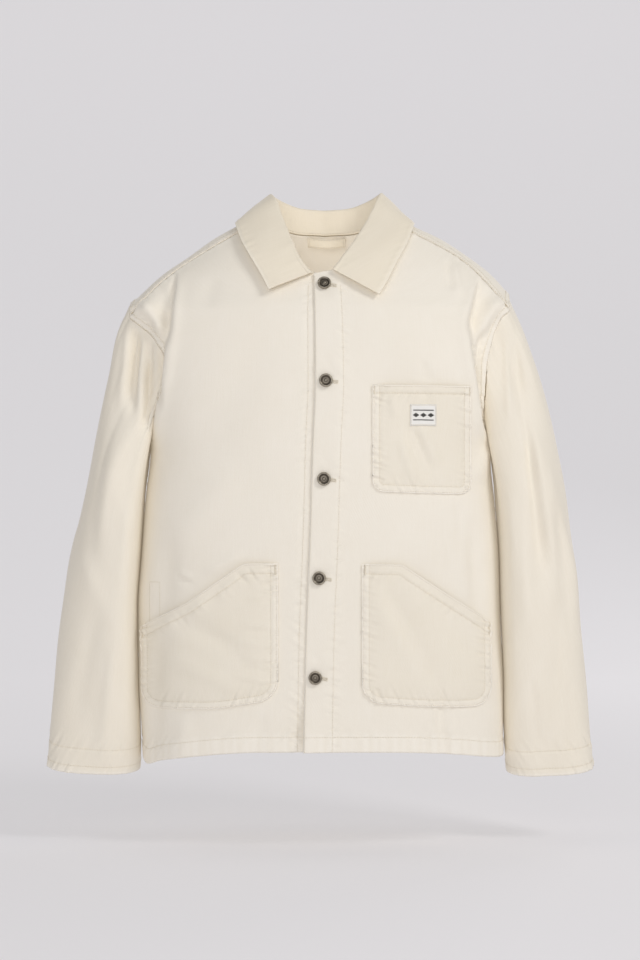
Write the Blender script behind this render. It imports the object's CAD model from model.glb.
import math

import bmesh
import bpy
import numpy as np
from mathutils import Matrix, Vector
from mathutils.bvhtree import BVHTree


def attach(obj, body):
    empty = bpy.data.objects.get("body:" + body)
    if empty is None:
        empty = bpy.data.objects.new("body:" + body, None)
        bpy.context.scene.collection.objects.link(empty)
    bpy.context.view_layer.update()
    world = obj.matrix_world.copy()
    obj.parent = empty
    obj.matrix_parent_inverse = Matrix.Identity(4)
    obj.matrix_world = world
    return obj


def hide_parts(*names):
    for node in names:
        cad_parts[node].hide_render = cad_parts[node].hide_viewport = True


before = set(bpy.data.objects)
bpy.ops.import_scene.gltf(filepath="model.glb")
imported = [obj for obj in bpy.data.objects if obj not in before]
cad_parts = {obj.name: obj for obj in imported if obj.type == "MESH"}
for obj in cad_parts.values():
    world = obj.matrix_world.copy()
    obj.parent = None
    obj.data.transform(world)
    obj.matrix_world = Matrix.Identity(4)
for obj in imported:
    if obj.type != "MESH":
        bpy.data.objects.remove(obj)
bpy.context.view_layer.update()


def rows(columns, *values):  # a short table: column names, then one row for each place
    return dict(zip(columns.split(), np.array(values, float).T))


# the form of the jacket; "right" is +X and "left" is -X as seen from the front

bodyForm = rows(
    "level left right front back square",
    (-0.740, 0.2370, 0.2335, 0.109, 0.104, 2.50),
    (-0.690, 0.2390, 0.2335, 0.110, 0.104, 2.50),
    (-0.600, 0.2445, 0.2337, 0.112, 0.102, 2.50),
    (-0.500, 0.2455, 0.2300, 0.114, 0.100, 2.50),
    (-0.430, 0.2410, 0.2280, 0.116, 0.101, 2.50),
    (-0.360, 0.2360, 0.2225, 0.117, 0.105, 2.45),
    (-0.295, 0.2290, 0.2165, 0.117, 0.110, 2.40),
    (-0.240, 0.2440, 0.2380, 0.116, 0.113, 2.35),
    (-0.190, 0.2560, 0.2540, 0.114, 0.115, 2.30),
    (-0.150, 0.2640, 0.2600, 0.108, 0.113, 2.30),
    (-0.113, 0.2630, 0.2560, 0.100, 0.107, 2.25),
    (-0.090, 0.2435, 0.2420, 0.090, 0.101, 2.20),
    (-0.0635, 0.2145, 0.2178, 0.078, 0.091, 2.15),
    (-0.040, 0.1795, 0.1880, 0.066, 0.079, 2.10),
    (-0.0155, 0.1450, 0.1510, 0.051, 0.063, 2.05),
    (0.000, 0.1180, 0.1185, 0.041, 0.0525, 2.00),
    (0.010, 0.0990, 0.0990, 0.034, 0.045, 2.00),
    (0.018, 0.0800, 0.0800, 0.027, 0.036, 2.00),
    (0.026, 0.0500, 0.0500, 0.017, 0.022, 2.00),
    (0.032, 0.0100, 0.0100, 0.004, 0.005, 2.00),
)
underarm = -0.295

fronts = {
    "edge": rows(
        "level x",
        (-0.690, -0.0285),
        (-0.537, -0.0257),
        (-0.410, -0.0206),
        (-0.282, -0.0168),
        (-0.206, -0.0136),
        (-0.068, -0.0152),
    ),
    "lap": 0.030,
    "flyOut": 0.0013,
    "flyIn": 0.0015,
    "neck": {
        "right": rows(
            "share x level",
            (0.00, -0.0152, -0.0680),
            (0.17, 0.0101, -0.0625),
            (0.35, 0.0340, -0.0505),
            (0.60, 0.0570, -0.0320),
            (0.80, 0.0730, -0.0120),
            (1.00, 0.0860, 0.0065),
        ),
        "left": rows(
            "share x level",
            (0.00, -0.0140, -0.0680),
            (0.19, 0.0140, -0.0655),
            (0.36, 0.0340, -0.0530),
            (0.60, 0.0570, -0.0330),
            (0.80, 0.0730, -0.0120),
            (1.00, 0.0860, 0.0065),
        ),
    },
    "shoulder": {
        "right": rows(
            "share x level",
            (0.00, 0.0860, 0.0065),
            (0.17, 0.1153, -0.0098),
            (0.53, 0.1770, -0.0443),
            (0.76, 0.2107, -0.0761),
            (1.00, 0.2400, -0.1135),
        ),
        "left": rows(
            "share x level",
            (0.00, 0.0860, 0.0065),
            (0.16, 0.1153, -0.0100),
            (0.49, 0.1755, -0.0465),
            (0.72, 0.2150, -0.0760),
            (1.00, 0.2555, -0.1200),
        ),
    },
    "armhole": {
        "right": rows(
            "share x level",
            (0.00, 0.2168, -0.2950),
            (0.18, 0.2190, -0.2800),
            (0.30, 0.2185, -0.2600),
            (0.44, 0.2180, -0.2300),
            (0.61, 0.2190, -0.1900),
            (0.79, 0.2270, -0.1500),
            (0.87, 0.2310, -0.1330),
            (0.93, 0.2325, -0.1210),
            (1.00, 0.2400, -0.1135),
        ),
        "left": rows(
            "share x level",
            (0.00, 0.2293, -0.2950),
            (0.18, 0.2290, -0.2800),
            (0.30, 0.2260, -0.2600),
            (0.44, 0.2225, -0.2300),
            (0.61, 0.2185, -0.1884),
            (0.72, 0.2205, -0.1700),
            (0.83, 0.2310, -0.1490),
            (0.91, 0.2430, -0.1350),
            (1.00, 0.2555, -0.1200),
        ),
    },
    # angle 0 at the side, -90 at the middle of the front, 90 at the middle of the back
    "hem": rows(
        "angle left right",
        (-100, -0.6800, -0.6800),
        (-72, -0.6815, -0.6810),
        (-50, -0.6880, -0.6850),
        (-30, -0.6960, -0.6910),
        (-15, -0.7030, -0.6935),
        (0, -0.6950, -0.6920),
        (40, -0.6930, -0.6920),
        (90, -0.6960, -0.6960),
    ),
    "hemDepth": 0.021,
    "placket": 0.038,
}

backPanel = {
    "armhole": {
        "right": rows(
            "share x level",
            (0.00, 0.2168, -0.2950),
            (0.20, 0.2190, -0.2780),
            (0.40, 0.2170, -0.2450),
            (0.60, 0.2140, -0.2000),
            (0.80, 0.2260, -0.1500),
            (1.00, 0.2450, -0.1180),
        ),
        "left": rows(
            "share x level",
            (0.00, 0.2293, -0.2950),
            (0.20, 0.2300, -0.2780),
            (0.40, 0.2240, -0.2450),
            (0.60, 0.2190, -0.2000),
            (0.80, 0.2330, -0.1500),
            (1.00, 0.2545, -0.1220),
        ),
    },
    # in plan: where the cloth turns over the shoulder, and the back neck seam
    "turn": rows(
        "share x y",
        (0.00, 0.0000, 0.0720),
        (0.12, 0.0400, 0.0710),
        (0.24, 0.0800, 0.0580),
        (0.34, 0.1180, 0.0340),
        (0.48, 0.1450, 0.0320),
        (0.72, 0.1900, 0.0300),
    ),
    "neck": rows(
        "share x y",
        (0.00, 0.0000, 0.0570),
        (0.22, 0.0300, 0.0545),
        (0.42, 0.0560, 0.0460),
        (0.62, 0.0735, 0.0310),
        (0.81, 0.0830, 0.0080),
    ),
    "neckShare": 0.34,
    "halfWidth": 0.245,
}

# The front falls back to the sleeve past this line, in a step that starts in a soft crest.
chestStep = {
    "crest": rows(
        "level left right",
        (-0.300, 0.2300, 0.2180),
        (-0.258, 0.2210, 0.2030),
        (-0.229, 0.2160, 0.1990),
        (-0.195, 0.2090, 0.1920),
        (-0.149, 0.2030, 0.1850),
        (-0.127, 0.2010, 0.1860),
        (-0.094, 0.1985, 0.1950),
        (-0.060, 0.1960, 0.2050),
    ),
    "depth": 0.016,
    "width": 0.016,
    "rise": 0.003,
}

# Creases by hand: side, face -1 front or 1 back, start and end seen from the front, width at
# each end, and height, in metres. A minus height is a trough.
bodyCreases = rows(
    "side face x0 z0 x1 z1 width0 width1 height",
    (1, -1, 0.060, -0.470, 0.165, -0.620, 0.020, 0.022, 0.0024),
    (1, -1, 0.110, -0.440, 0.205, -0.560, 0.020, 0.024, -0.0020),
    (1, -1, 0.074, -0.470, 0.146, -0.594, 0.012, 0.016, -0.0016),
    (1, -1, 0.190, -0.400, 0.199, -0.510, 0.010, 0.012, -0.0034),
    (1, -1, 0.145, -0.600, 0.156, -0.700, 0.006, 0.009, -0.0034),
    (1, -1, 0.155, -0.640, 0.168, -0.700, 0.007, 0.012, 0.0014),
    (1, -1, 0.1585, -0.050, 0.1625, -0.085, 0.005, 0.008, -0.0018),
    (1, -1, 0.168, -0.055, 0.172, -0.095, 0.005, 0.008, 0.0018),
    (1, -1, 0.030, -0.120, 0.150, -0.190, 0.030, 0.030, 0.0020),
    (1, -1, 0.142, -0.390, 0.150, -0.455, 0.006, 0.010, -0.0016),
    (1, -1, 0.170, -0.365, 0.176, -0.430, 0.006, 0.010, -0.0014),
    (1, -1, 0.122, -0.180, 0.131, -0.206, 0.005, 0.007, -0.0012),
    (1, -1, 0.2220, -0.100, 0.2060, -0.142, 0.011, 0.008, 0.0072),
    (1, -1, 0.2010, -0.080, 0.1865, -0.140, 0.0045, 0.008, -0.0056),
    (1, -1, 0.2100, -0.140, 0.2030, -0.225, 0.006, 0.006, -0.0045),
    (1, -1, 0.1890, -0.163, 0.2040, -0.159, 0.0028, 0.0034, -0.0016),
    (1, -1, 0.1900, -0.174, 0.2050, -0.172, 0.0028, 0.0034, -0.0015),
    (1, -1, 0.1910, -0.187, 0.2060, -0.190, 0.0030, 0.0036, -0.0013),
    (1, -1, 0.2150, -0.290, 0.196, -0.330, 0.008, 0.014, 0.0030),
    (-1, -1, 0.120, -0.330, 0.200, -0.420, 0.022, 0.024, 0.0020),
    (-1, -1, 0.200, -0.420, 0.215, -0.560, 0.014, 0.018, -0.0028),
    (-1, -1, 0.080, -0.160, 0.150, -0.280, 0.030, 0.034, -0.0018),
    (-1, -1, 0.2320, -0.104, 0.2165, -0.140, 0.011, 0.008, 0.0080),
    (-1, -1, 0.1975, -0.076, 0.2080, -0.150, 0.0035, 0.009, -0.0062),
    (-1, -1, 0.2200, -0.165, 0.2130, -0.235, 0.006, 0.005, -0.0040),
    (-1, -1, 0.186, -0.452, 0.172, -0.459, 0.0040, 0.0036, 0.0009),
    (-1, -1, 0.190, -0.458, 0.170, -0.466, 0.0040, 0.0050, -0.0012),
    (-1, -1, 0.150, -0.450, 0.110, -0.430, 0.007, 0.006, 0.0014),
    (-1, -1, 0.105, -0.560, 0.190, -0.500, 0.012, 0.016, -0.0014),
    (-1, -1, 0.180, -0.640, 0.186, -0.700, 0.010, 0.016, 0.0016),
    (-1, -1, 0.080, -0.640, 0.090, -0.690, 0.008, 0.014, -0.0012),
    (-1, -1, 0.2150, -0.560, 0.2250, -0.700, 0.009, 0.014, -0.0030),
    (-1, -1, 0.145, -0.075, 0.155, -0.110, 0.010, 0.014, -0.0012),
    # the back: a pull from each armhole, the blade folds, and long folds down to the hem
    (1, 1, 0.190, -0.200, 0.090, -0.330, 0.015, 0.025, 0.0075),
    (1, 1, 0.205, -0.225, 0.130, -0.350, 0.008, 0.017, -0.0057),
    (1, 1, 0.200, -0.150, 0.170, -0.290, 0.009, 0.014, -0.0045),
    (-1, 1, 0.195, -0.210, 0.080, -0.310, 0.015, 0.024, 0.0067),
    (-1, 1, 0.210, -0.240, 0.120, -0.370, 0.008, 0.017, -0.0054),
    (-1, 1, 0.205, -0.160, 0.180, -0.280, 0.009, 0.014, -0.0039),
    (1, 1, 0.140, -0.460, 0.170, -0.690, 0.014, 0.022, -0.0075),
    (1, 1, 0.185, -0.400, 0.205, -0.690, 0.010, 0.017, 0.0060),
    (1, 1, 0.050, -0.520, 0.040, -0.700, 0.014, 0.024, 0.0060),
    (1, 1, 0.090, -0.380, 0.100, -0.600, 0.012, 0.017, -0.0030),
    (-1, 1, 0.120, -0.430, 0.150, -0.690, 0.014, 0.022, -0.0067),
    (-1, 1, 0.200, -0.360, 0.190, -0.560, 0.010, 0.015, 0.0060),
    (-1, 1, 0.020, -0.450, 0.010, -0.690, 0.015, 0.022, -0.0048),
    (-1, 1, 0.070, -0.560, 0.085, -0.700, 0.010, 0.017, 0.0045),
    (1, 1, 0.110, -0.060, 0.150, -0.130, 0.015, 0.022, -0.0030),
    (-1, 1, 0.120, -0.060, 0.160, -0.140, 0.015, 0.022, -0.0027),
)

sleeves = {
    "outer": rows(
        "level left right",
        (-0.715, 0.3645, 0.3525),
        (-0.660, 0.3615, 0.3495),
        (-0.590, 0.3565, 0.3437),
        (-0.500, 0.3465, 0.3360),
        (-0.450, 0.3398, 0.3318),
        (-0.412, 0.3312, 0.3261),
        (-0.385, 0.3235, 0.3220),
        (-0.330, 0.3122, 0.3138),
        (-0.270, 0.3002, 0.3022),
        (-0.200, 0.2890, 0.2862),
        (-0.150, 0.2795, 0.2710),
        (-0.112, 0.2630, 0.2530),
    ),
    "form": rows(
        "share front back outerY innerY clear square",
        (0.00, 0.072, 0.072, 0.000, 0.000, 0.0000, 2.2),
        (0.12, 0.072, 0.078, 0.006, -0.008, 0.0016, 2.4),
        (0.30, 0.070, 0.078, 0.012, -0.015, 0.0015, 2.6),
        (0.55, 0.062, 0.074, 0.014, -0.016, 0.0014, 2.7),
        (0.80, 0.048, 0.058, 0.008, -0.010, 0.0016, 2.7),
        (1.00, 0.033, 0.036, 0.000, 0.000, 0.0060, 2.6),
    ),
    "cuffOuter": {"left": -0.7070, "right": -0.7090},
    "cuffInner": {"left": -0.7110, "right": -0.7140},
    "cuffTilt": 0.0080,
    "tip": {"left": -0.1140, "right": -0.1060},
    "underarmLift": 0.0022,
    "cuffFacing": 0.034,
    "broad": rows(  # angle 0 outside, 90 front, -90 back, 180 inside
        "side angle0 share0 angle1 share1 width height",
        (1, 70, 0.28, 30, 0.62, 9, 0.0050),
        (1, 110, 0.30, 60, 0.60, 9, -0.0045),
        (1, 75, 0.66, 95, 0.98, 8, -0.0030),
        (-1, 85, 0.05, 80, 0.40, 8, 0.0026),
        (-1, 60, 0.05, 62, 0.35, 8, -0.0028),
        (-1, 45, 0.42, 85, 0.55, 10, 0.0014),
        (1, -60, 0.40, -120, 0.62, 9, 0.0050),
        (-1, -70, 0.42, -115, 0.60, 9, 0.0050),
        (1, -60, 0.10, -80, 0.40, 9, -0.0040),
        (-1, -60, 0.12, -85, 0.45, 9, -0.0040),
    ),
}

sleeveCreases = rows(
    "side face x0 z0 x1 z1 width0 width1 height",
    (-1, -1, 0.2570, -0.140, 0.2650, -0.235, 0.004, 0.007, 0.0026),
    (-1, -1, 0.2460, -0.135, 0.2500, -0.240, 0.004, 0.007, -0.0052),
    (-1, -1, 0.2360, -0.150, 0.2400, -0.230, 0.004, 0.006, 0.0036),
    (-1, -1, 0.2270, -0.170, 0.2300, -0.260, 0.004, 0.008, -0.0060),
    (-1, -1, 0.2700, -0.260, 0.2950, -0.420, 0.010, 0.013, 0.0012),
    (-1, -1, 0.2500, -0.300, 0.2760, -0.470, 0.009, 0.014, -0.0017),
    (-1, -1, 0.3050, -0.330, 0.3000, -0.440, 0.008, 0.011, -0.0010),
    (-1, -1, 0.3180, -0.430, 0.2850, -0.500, 0.008, 0.011, 0.0009),
    (-1, -1, 0.3000, -0.520, 0.3250, -0.640, 0.011, 0.014, -0.0018),
    (-1, -1, 0.2750, -0.560, 0.2900, -0.690, 0.008, 0.011, 0.0020),
    (1, -1, 0.2620, -0.270, 0.2820, -0.440, 0.006, 0.009, -0.0052),
    (1, -1, 0.2720, -0.290, 0.2960, -0.460, 0.007, 0.010, 0.0042),
    (1, -1, 0.2480, -0.150, 0.2580, -0.260, 0.005, 0.008, -0.0030),
    (1, -1, 0.2350, -0.160, 0.2380, -0.250, 0.004, 0.006, 0.0026),
    (1, -1, 0.2980, -0.370, 0.3240, -0.520, 0.007, 0.009, -0.0044),
    (1, -1, 0.2900, -0.340, 0.3300, -0.540, 0.007, 0.009, 0.0034),
    (1, -1, 0.2560, -0.380, 0.2620, -0.520, 0.007, 0.010, 0.0020),
    (1, -1, 0.2700, -0.600, 0.2780, -0.690, 0.006, 0.010, -0.0022),
    (1, -1, 0.3180, -0.600, 0.3200, -0.690, 0.008, 0.010, -0.0016),
    (1, 1, 0.2700, -0.380, 0.3150, -0.440, 0.010, 0.008, -0.0046),
    (1, 1, 0.2650, -0.420, 0.3100, -0.490, 0.010, 0.009, 0.0036),
    (1, 1, 0.2500, -0.220, 0.2750, -0.350, 0.008, 0.013, -0.0036),
    (1, 1, 0.2900, -0.520, 0.3100, -0.680, 0.010, 0.014, -0.0030),
    (-1, 1, 0.2750, -0.400, 0.3200, -0.450, 0.010, 0.008, -0.0046),
    (-1, 1, 0.2700, -0.430, 0.3150, -0.500, 0.010, 0.009, 0.0034),
    (-1, 1, 0.2600, -0.230, 0.2850, -0.360, 0.008, 0.013, -0.0034),
    (-1, 1, 0.2950, -0.540, 0.3200, -0.690, 0.010, 0.014, -0.0028),
)

collar = {
    "right": rows(
        "share rollX rollY rollZ edgeX edgeY edgeZ",
        (0.00, 0.0000, 0.066, 0.0290, 0.0000, 0.0880, -0.0330),
        (0.15, 0.0300, 0.063, 0.0310, 0.0410, 0.0860, -0.0300),
        (0.30, 0.0580, 0.048, 0.0395, 0.0880, 0.0660, -0.0120),
        (0.42, 0.0745, 0.020, 0.0478, 0.1155, 0.0230, 0.0050),
        (0.52, 0.0690, -0.006, 0.0350, 0.1175, -0.0110, 0.0045),
        (0.65, 0.0570, -0.030, 0.0090, 0.1080, -0.0490, -0.0220),
        (0.80, 0.0410, -0.055, -0.0185, 0.0930, -0.0730, -0.0500),
        (0.92, 0.0240, -0.075, -0.0435, 0.0800, -0.0900, -0.0765),
        (1.00, 0.0105, -0.0875, -0.0625, 0.0690, -0.1020, -0.0951),
    ),
    "left": rows(
        "share rollX rollY rollZ edgeX edgeY edgeZ",
        (0.00, 0.0000, 0.066, 0.0290, 0.0000, 0.0880, -0.0330),
        (0.15, 0.0300, 0.063, 0.0310, 0.0410, 0.0860, -0.0300),
        (0.30, 0.0580, 0.048, 0.0395, 0.0880, 0.0660, -0.0120),
        (0.42, 0.0720, 0.020, 0.0460, 0.1150, 0.0220, 0.0060),
        (0.52, 0.0655, -0.009, 0.0375, 0.1180, -0.0130, 0.0050),
        (0.65, 0.0555, -0.036, 0.0080, 0.1090, -0.0530, -0.0210),
        (0.80, 0.0430, -0.062, -0.0230, 0.0960, -0.0750, -0.0450),
        (0.92, 0.0320, -0.080, -0.0490, 0.0810, -0.0900, -0.0710),
        (1.00, 0.0185, -0.0885, -0.0668, 0.0722, -0.1005, -0.0889),
    ),
    "endShare": {"right": 0.17, "left": 0.19},
    "roll": 0.0026,
    "bow": 0.0030,
    "lift": 0.0013,
    "wall": 0.0018,
}

pockets = {
    "chest": {
        "side": "right",
        "top": rows("x z", (0.0600, -0.2120), (0.1250, -0.2123), (0.1870, -0.2124)),
        "bottom": rows("x z", (0.0590, -0.3475), (0.1250, -0.3500), (0.1870, -0.3515)),
        "corner": 0.015,
        "band": 0.011,
        "replaces": "pocket_chest",
    },
    "handLeft": {
        "side": "right",
        "top": rows("x z", (0.0470, -0.4395), (0.0967, -0.4405), (0.1560, -0.4800), (0.2140, -0.5185)),
        "bottom": rows("x z", (0.0470, -0.6165), (0.1440, -0.6235), (0.2140, -0.6250)),
        "corner": 0.024,
        "band": 0.0135,
        "replaces": "pocket_left",
    },
    "handRight": {
        "side": "left",
        "top": rows("x z", (0.0600, -0.4390), (0.1030, -0.4390), (0.1750, -0.4900), (0.2385, -0.5240)),
        "bottom": rows("x z", (0.0600, -0.6120), (0.0960, -0.6185), (0.1500, -0.6262), (0.2385, -0.6275)),
        "corner": 0.024,
        "band": 0.0135,
        "replaces": "pocket_right",
    },
}
pocketCreases = rows(
    "side face x0 z0 x1 z1 width0 width1 height",
    (1, -1, 0.107, -0.270, 0.130, -0.325, 0.007, 0.010, -0.0030),
    (1, -1, 0.096, -0.285, 0.112, -0.330, 0.007, 0.009, 0.0020),
    (1, -1, 0.122, -0.266, 0.140, -0.310, 0.006, 0.009, 0.0022),
    (1, -1, 0.083, -0.225, 0.089, -0.252, 0.004, 0.006, 0.0010),
    (1, -1, 0.126, -0.219, 0.132, -0.238, 0.004, 0.006, -0.0010),
    (1, -1, 0.108, -0.466, 0.182, -0.590, 0.014, 0.018, 0.0018),
    (1, -1, 0.080, -0.480, 0.146, -0.600, 0.010, 0.013, -0.0016),
    (-1, -1, 0.066, -0.482, 0.094, -0.484, 0.0026, 0.0036, 0.0005),
    (-1, -1, 0.066, -0.520, 0.102, -0.517, 0.0030, 0.0040, 0.0008),
    (-1, -1, 0.066, -0.527, 0.098, -0.527, 0.0028, 0.0038, -0.0006),
    (-1, -1, 0.066, -0.544, 0.108, -0.540, 0.0028, 0.0040, 0.0006),
    (-1, -1, 0.066, -0.563, 0.100, -0.560, 0.0030, 0.0042, 0.0008),
    (-1, -1, 0.066, -0.577, 0.104, -0.573, 0.0028, 0.0042, -0.0006),
    (-1, -1, 0.068, -0.590, 0.112, -0.584, 0.0030, 0.0046, 0.0007),
    (-1, -1, 0.110, -0.600, 0.200, -0.560, 0.010, 0.014, 0.0012),
    (-1, -1, 0.120, -0.540, 0.190, -0.520, 0.009, 0.013, -0.0010),
)

buttons = {
    "places": rows(
        "x z",
        (-0.0011, -0.0815),
        (0.0009, -0.2064),
        (-0.0016, -0.3315),
        (-0.0076, -0.4578),
        (-0.0125, -0.5848),
    ),
    "seat": 0.0011,
    "profile": (  # radius and height of a domed centre, two rings and a rolled rim
        (0.0000, 0.0043),
        (0.0012, 0.0042),
        (0.0021, 0.0037),
        (0.0026, 0.0034),
        (0.0032, 0.0037),
        (0.0038, 0.0034),
        (0.0047, 0.0032),
        (0.0056, 0.0034),
        (0.0062, 0.0041),
        (0.0070, 0.0046),
        (0.0079, 0.0045),
        (0.0085, 0.0038),
        (0.0086, 0.0028),
        (0.0084, 0.0018),
        (0.0074, 0.0008),
        (0.0000, 0.0004),
    ),
    "steps": 48,
}

sizes = {
    "wall": 0.0013,
    "pocketWall": 0.0012,
    "seamGap": 0.0005,
    "armholeGap": 0.0009,
}


def smooth(t):
    t = np.clip(t, 0.0, 1.0)
    return t * t * (3.0 - 2.0 * t)


def follow(table, by, name, at):  # smooth curve through a column, with no overshoot
    x = table[by]
    y = table[name]
    rise = np.diff(y) / np.diff(x)
    sameWay = rise[1:] * rise[:-1] > 0
    inner = np.where(sameWay, 2 * rise[1:] * rise[:-1] / np.where(sameWay, rise[1:] + rise[:-1], 1), 0)
    slope = np.concatenate(([rise[0]], inner, [rise[-1]]))
    at = np.clip(np.asarray(at, float), x[0], x[-1])
    i = np.clip(np.searchsorted(x, at, side="right") - 1, 0, len(x) - 2)
    h = x[i + 1] - x[i]
    t = (at - x[i]) / h
    return (
        y[i] * (1 + 2 * t) * (1 - t) ** 2
        + h * slope[i] * t * (1 - t) ** 2
        + y[i + 1] * t * t * (3 - 2 * t)
        + h * slope[i + 1] * t * t * (t - 1)
    )


def power(value, exponent):
    return np.sign(value) * np.abs(value) ** exponent


def section(side, level, depthSide):
    width = follow(bodyForm, "level", side, level)
    front = follow(bodyForm, "level", "front", level)
    back = follow(bodyForm, "level", "back", level)
    return width, np.where(depthSide < 0, front, back), follow(bodyForm, "level", "square", level)


def bodyPoint(side, angle, level):
    width, depth, square = section(side, level, angle)
    x = width * power(np.cos(angle), 2 / square)
    y = depth * power(np.sin(angle), 2 / square)
    return np.stack(np.broadcast_arrays(x, y, level), -1)


def fullness(side, x, y, level):
    width, depth, square = section(side, level, y)
    return np.abs(x / width) ** square + np.abs(y / depth) ** square


def outward(side, point):
    x, y, level = point[..., 0], point[..., 1], point[..., 2]
    width, depth, square = section(side, level, y)
    step = 0.002
    slope = np.stack(
        (
            square * power(x / width, square - 1) / width,
            square * power(y / depth, square - 1) / depth,
            (fullness(side, x, y, level + step) - fullness(side, x, y, level - step)) / (2 * step),
        ),
        -1,
    )
    return slope / np.linalg.norm(slope, axis=-1, keepdims=True)


def angleAt(side, x, level, face):
    width, _, square = section(side, level, face)
    return face * np.arccos(np.clip(power(x / width, square / 2), -1, 1))


def fromPlan(side, x, y):  # angle and level of a place on the shoulders given in plan
    low = np.full(np.shape(x), -0.15)
    high = np.full(np.shape(x), 0.0315)
    for _ in range(32):
        middle = (low + high) / 2
        inside = fullness(side, x, y, middle) < 1
        low = np.where(inside, middle, low)
        high = np.where(inside, high, middle)
    level = (low + high) / 2
    width, depth, square = section(side, level, y)
    across = np.clip(np.abs(x / width), 0, 1) ** (square / 2)
    along = np.clip(np.abs(y / depth), 0, 1) ** (square / 2)
    return np.arctan2(np.sign(y) * along, across), level


endRun = 0.25  # a crease runs this share of its length past each end as it dies out
creaseStrength = 1.45  # every crease is this many times the height in its table


def dieOut(t):
    return smooth((t + endRun) / (2 * endRun)) * smooth((1 + endRun - t) / (2 * endRun))


def creaseRise(table, side, x, z, frontShare, backShare):
    sign = 1 if side == "right" else -1
    rise = np.zeros(np.shape(x))
    for row in zip(*table.values()):
        rowSide, face, x0, z0, x1, z1, width0, width1, height = row
        if rowSide != sign:
            continue
        run = (x1 - x0) ** 2 + (z1 - z0) ** 2
        t = np.clip(((x - x0) * (x1 - x0) + (z - z0) * (z1 - z0)) / run, -endRun, 1 + endRun)
        away = np.hypot(x - x0 - t * (x1 - x0), z - z0 - t * (z1 - z0))
        near = dieOut(t) * np.exp(-((away / (width0 + (width1 - width0) * t)) ** 2))
        rise = rise + creaseStrength * height * near * (frontShare if face < 0 else backShare)
    return rise


def bodyRise(side, point):
    x, y, level = point[..., 0], point[..., 1], point[..., 2]
    front = smooth(-y / 0.030)
    back = smooth(y / 0.030)
    seam = fronts["shoulder"][side]
    belowSeam = smooth((np.interp(x, seam["x"], seam["level"]) - level) / 0.045)
    aboveArm = smooth((level - underarm) / 0.045)
    beyond = (x - follow(chestStep["crest"], "level", side, level)) / chestStep["width"]
    fall = -chestStep["depth"] * smooth(beyond + 0.15)
    fall = fall + chestStep["rise"] * np.exp(-((beyond + 0.35) ** 2) * 4)
    return front * belowSeam * aboveArm * fall + creaseRise(bodyCreases, side, x, level, front, back)


def lapRise(side, x, level):
    edge = follow(fronts["edge"], "level", "x", level)
    if side == "right":
        return fronts["flyOut"] * smooth((edge + 0.050 - x) / 0.025)
    return -fronts["flyIn"] * smooth((0.016 - x - edge) / 0.014)


def bodyPlace(side, angle, level, lift=0.0):
    point = bodyPoint(side, angle, level)
    rise = bodyRise(side, point) + lift
    if np.min(angle) < 0:
        rise = rise + np.where(point[..., 1] < -0.02, lapRise(side, point[..., 0], level), 0)
    placed = point + outward(side, point) * np.asarray(rise)[..., None]
    return placed * ((-1, 1, 1) if side == "left" else (1, 1, 1))


def fillBetween(bottom, top, inner, outer, across, up, late=1):  # late holds the top's pull back
    u = across[None, :, None]
    t = up[:, None, None] ** late
    ruled = (1 - t) * bottom[None] + t * top[None] + (1 - u) * inner[:, None] + u * outer[:, None]
    corners = (
        (1 - u) * (1 - t) * bottom[0] + u * (1 - t) * bottom[-1] + (1 - u) * t * top[0] + u * t * top[-1]
    )
    return ruled - corners


def pair(angle, level):
    return np.stack(np.broadcast_arrays(angle, level), -1)


def curveOn(table, side, share, face=-1):
    x = follow(table, "share", "x", share)
    level = follow(table, "share", "level", share)
    return pair(angleAt(side, x, level, face), level)


def armCurve(side, face, share):
    table = fronts["armhole"][side] if face < 0 else backPanel["armhole"][side]
    curve = curveOn(table, side, share, face)
    curve[share <= 0, 0] = 0.0
    return curve


def sideSeam(side, share):
    start = follow(fronts["hem"], "angle", side, 0.0)
    return pair(0.0, start + (underarm - start) * share)


def denser(count, ends=0.45):  # shares from 0 to 1 that sit closer together towards both ends
    t = np.linspace(0, 1, count + 1)
    return t - ends * np.sin(2 * math.pi * t) / (2 * math.pi)


def joined(*parts):  # runs of shares, each starting where the last one stops
    return np.concatenate([part[:-1] for part in parts[:-1]] + [parts[-1]])


# the three sewn panels of the body


def frontPoints(side, columns, hemRows, armRows, neckRows):
    hemPart, neckPart = 0.40, 0.75
    up = joined(
        hemPart * (1 - (1 - np.linspace(0, 1, hemRows + 1)) ** 0.85),
        hemPart + (neckPart - hemPart) * np.linspace(0, 1, armRows + 1),
        neckPart + (1 - neckPart) * denser(neckRows, 0.3),
    )
    across = 1 - (1 - denser(columns)) ** 1.25
    hemRow, neckRow = hemRows, hemRows + armRows
    topLevel = fronts["neck"][side]["level"][0]
    hemLevel = fronts["hem"]["left"][0]
    edgeShare = up[: neckRow + 1] / neckPart
    level = hemLevel + (topLevel - hemLevel) * edgeShare
    edge = follow(fronts["edge"], "level", "x", level)
    if side == "left":
        edge = -(edge + fronts["lap"] * (1 - 0.05 * edgeShare))
    frontEdge = pair(angleAt(side, edge, level, -1), level)
    neck = curveOn(fronts["neck"][side], side, (up[neckRow:] - neckPart) / (1 - neckPart))
    inner = np.concatenate((frontEdge[:-1], neck))
    arm = armCurve(side, -1, (up[hemRow:] - hemPart) / (1 - hemPart))
    outer = np.concatenate((sideSeam(side, up[:hemRow] / hemPart), arm))
    start = np.degrees(frontEdge[0, 0])
    angle = np.radians(start * (1 - across))
    bottom = pair(angle, follow(fronts["hem"], "angle", side, np.degrees(angle)))
    inner[0] = bottom[0]
    top = curveOn(fronts["shoulder"][side], side, across)
    patch = fillBetween(bottom, top, inner, outer, across, up)
    return patch, bodyPlace(side, patch[..., 0], patch[..., 1]), hemRow, neckRow


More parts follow.
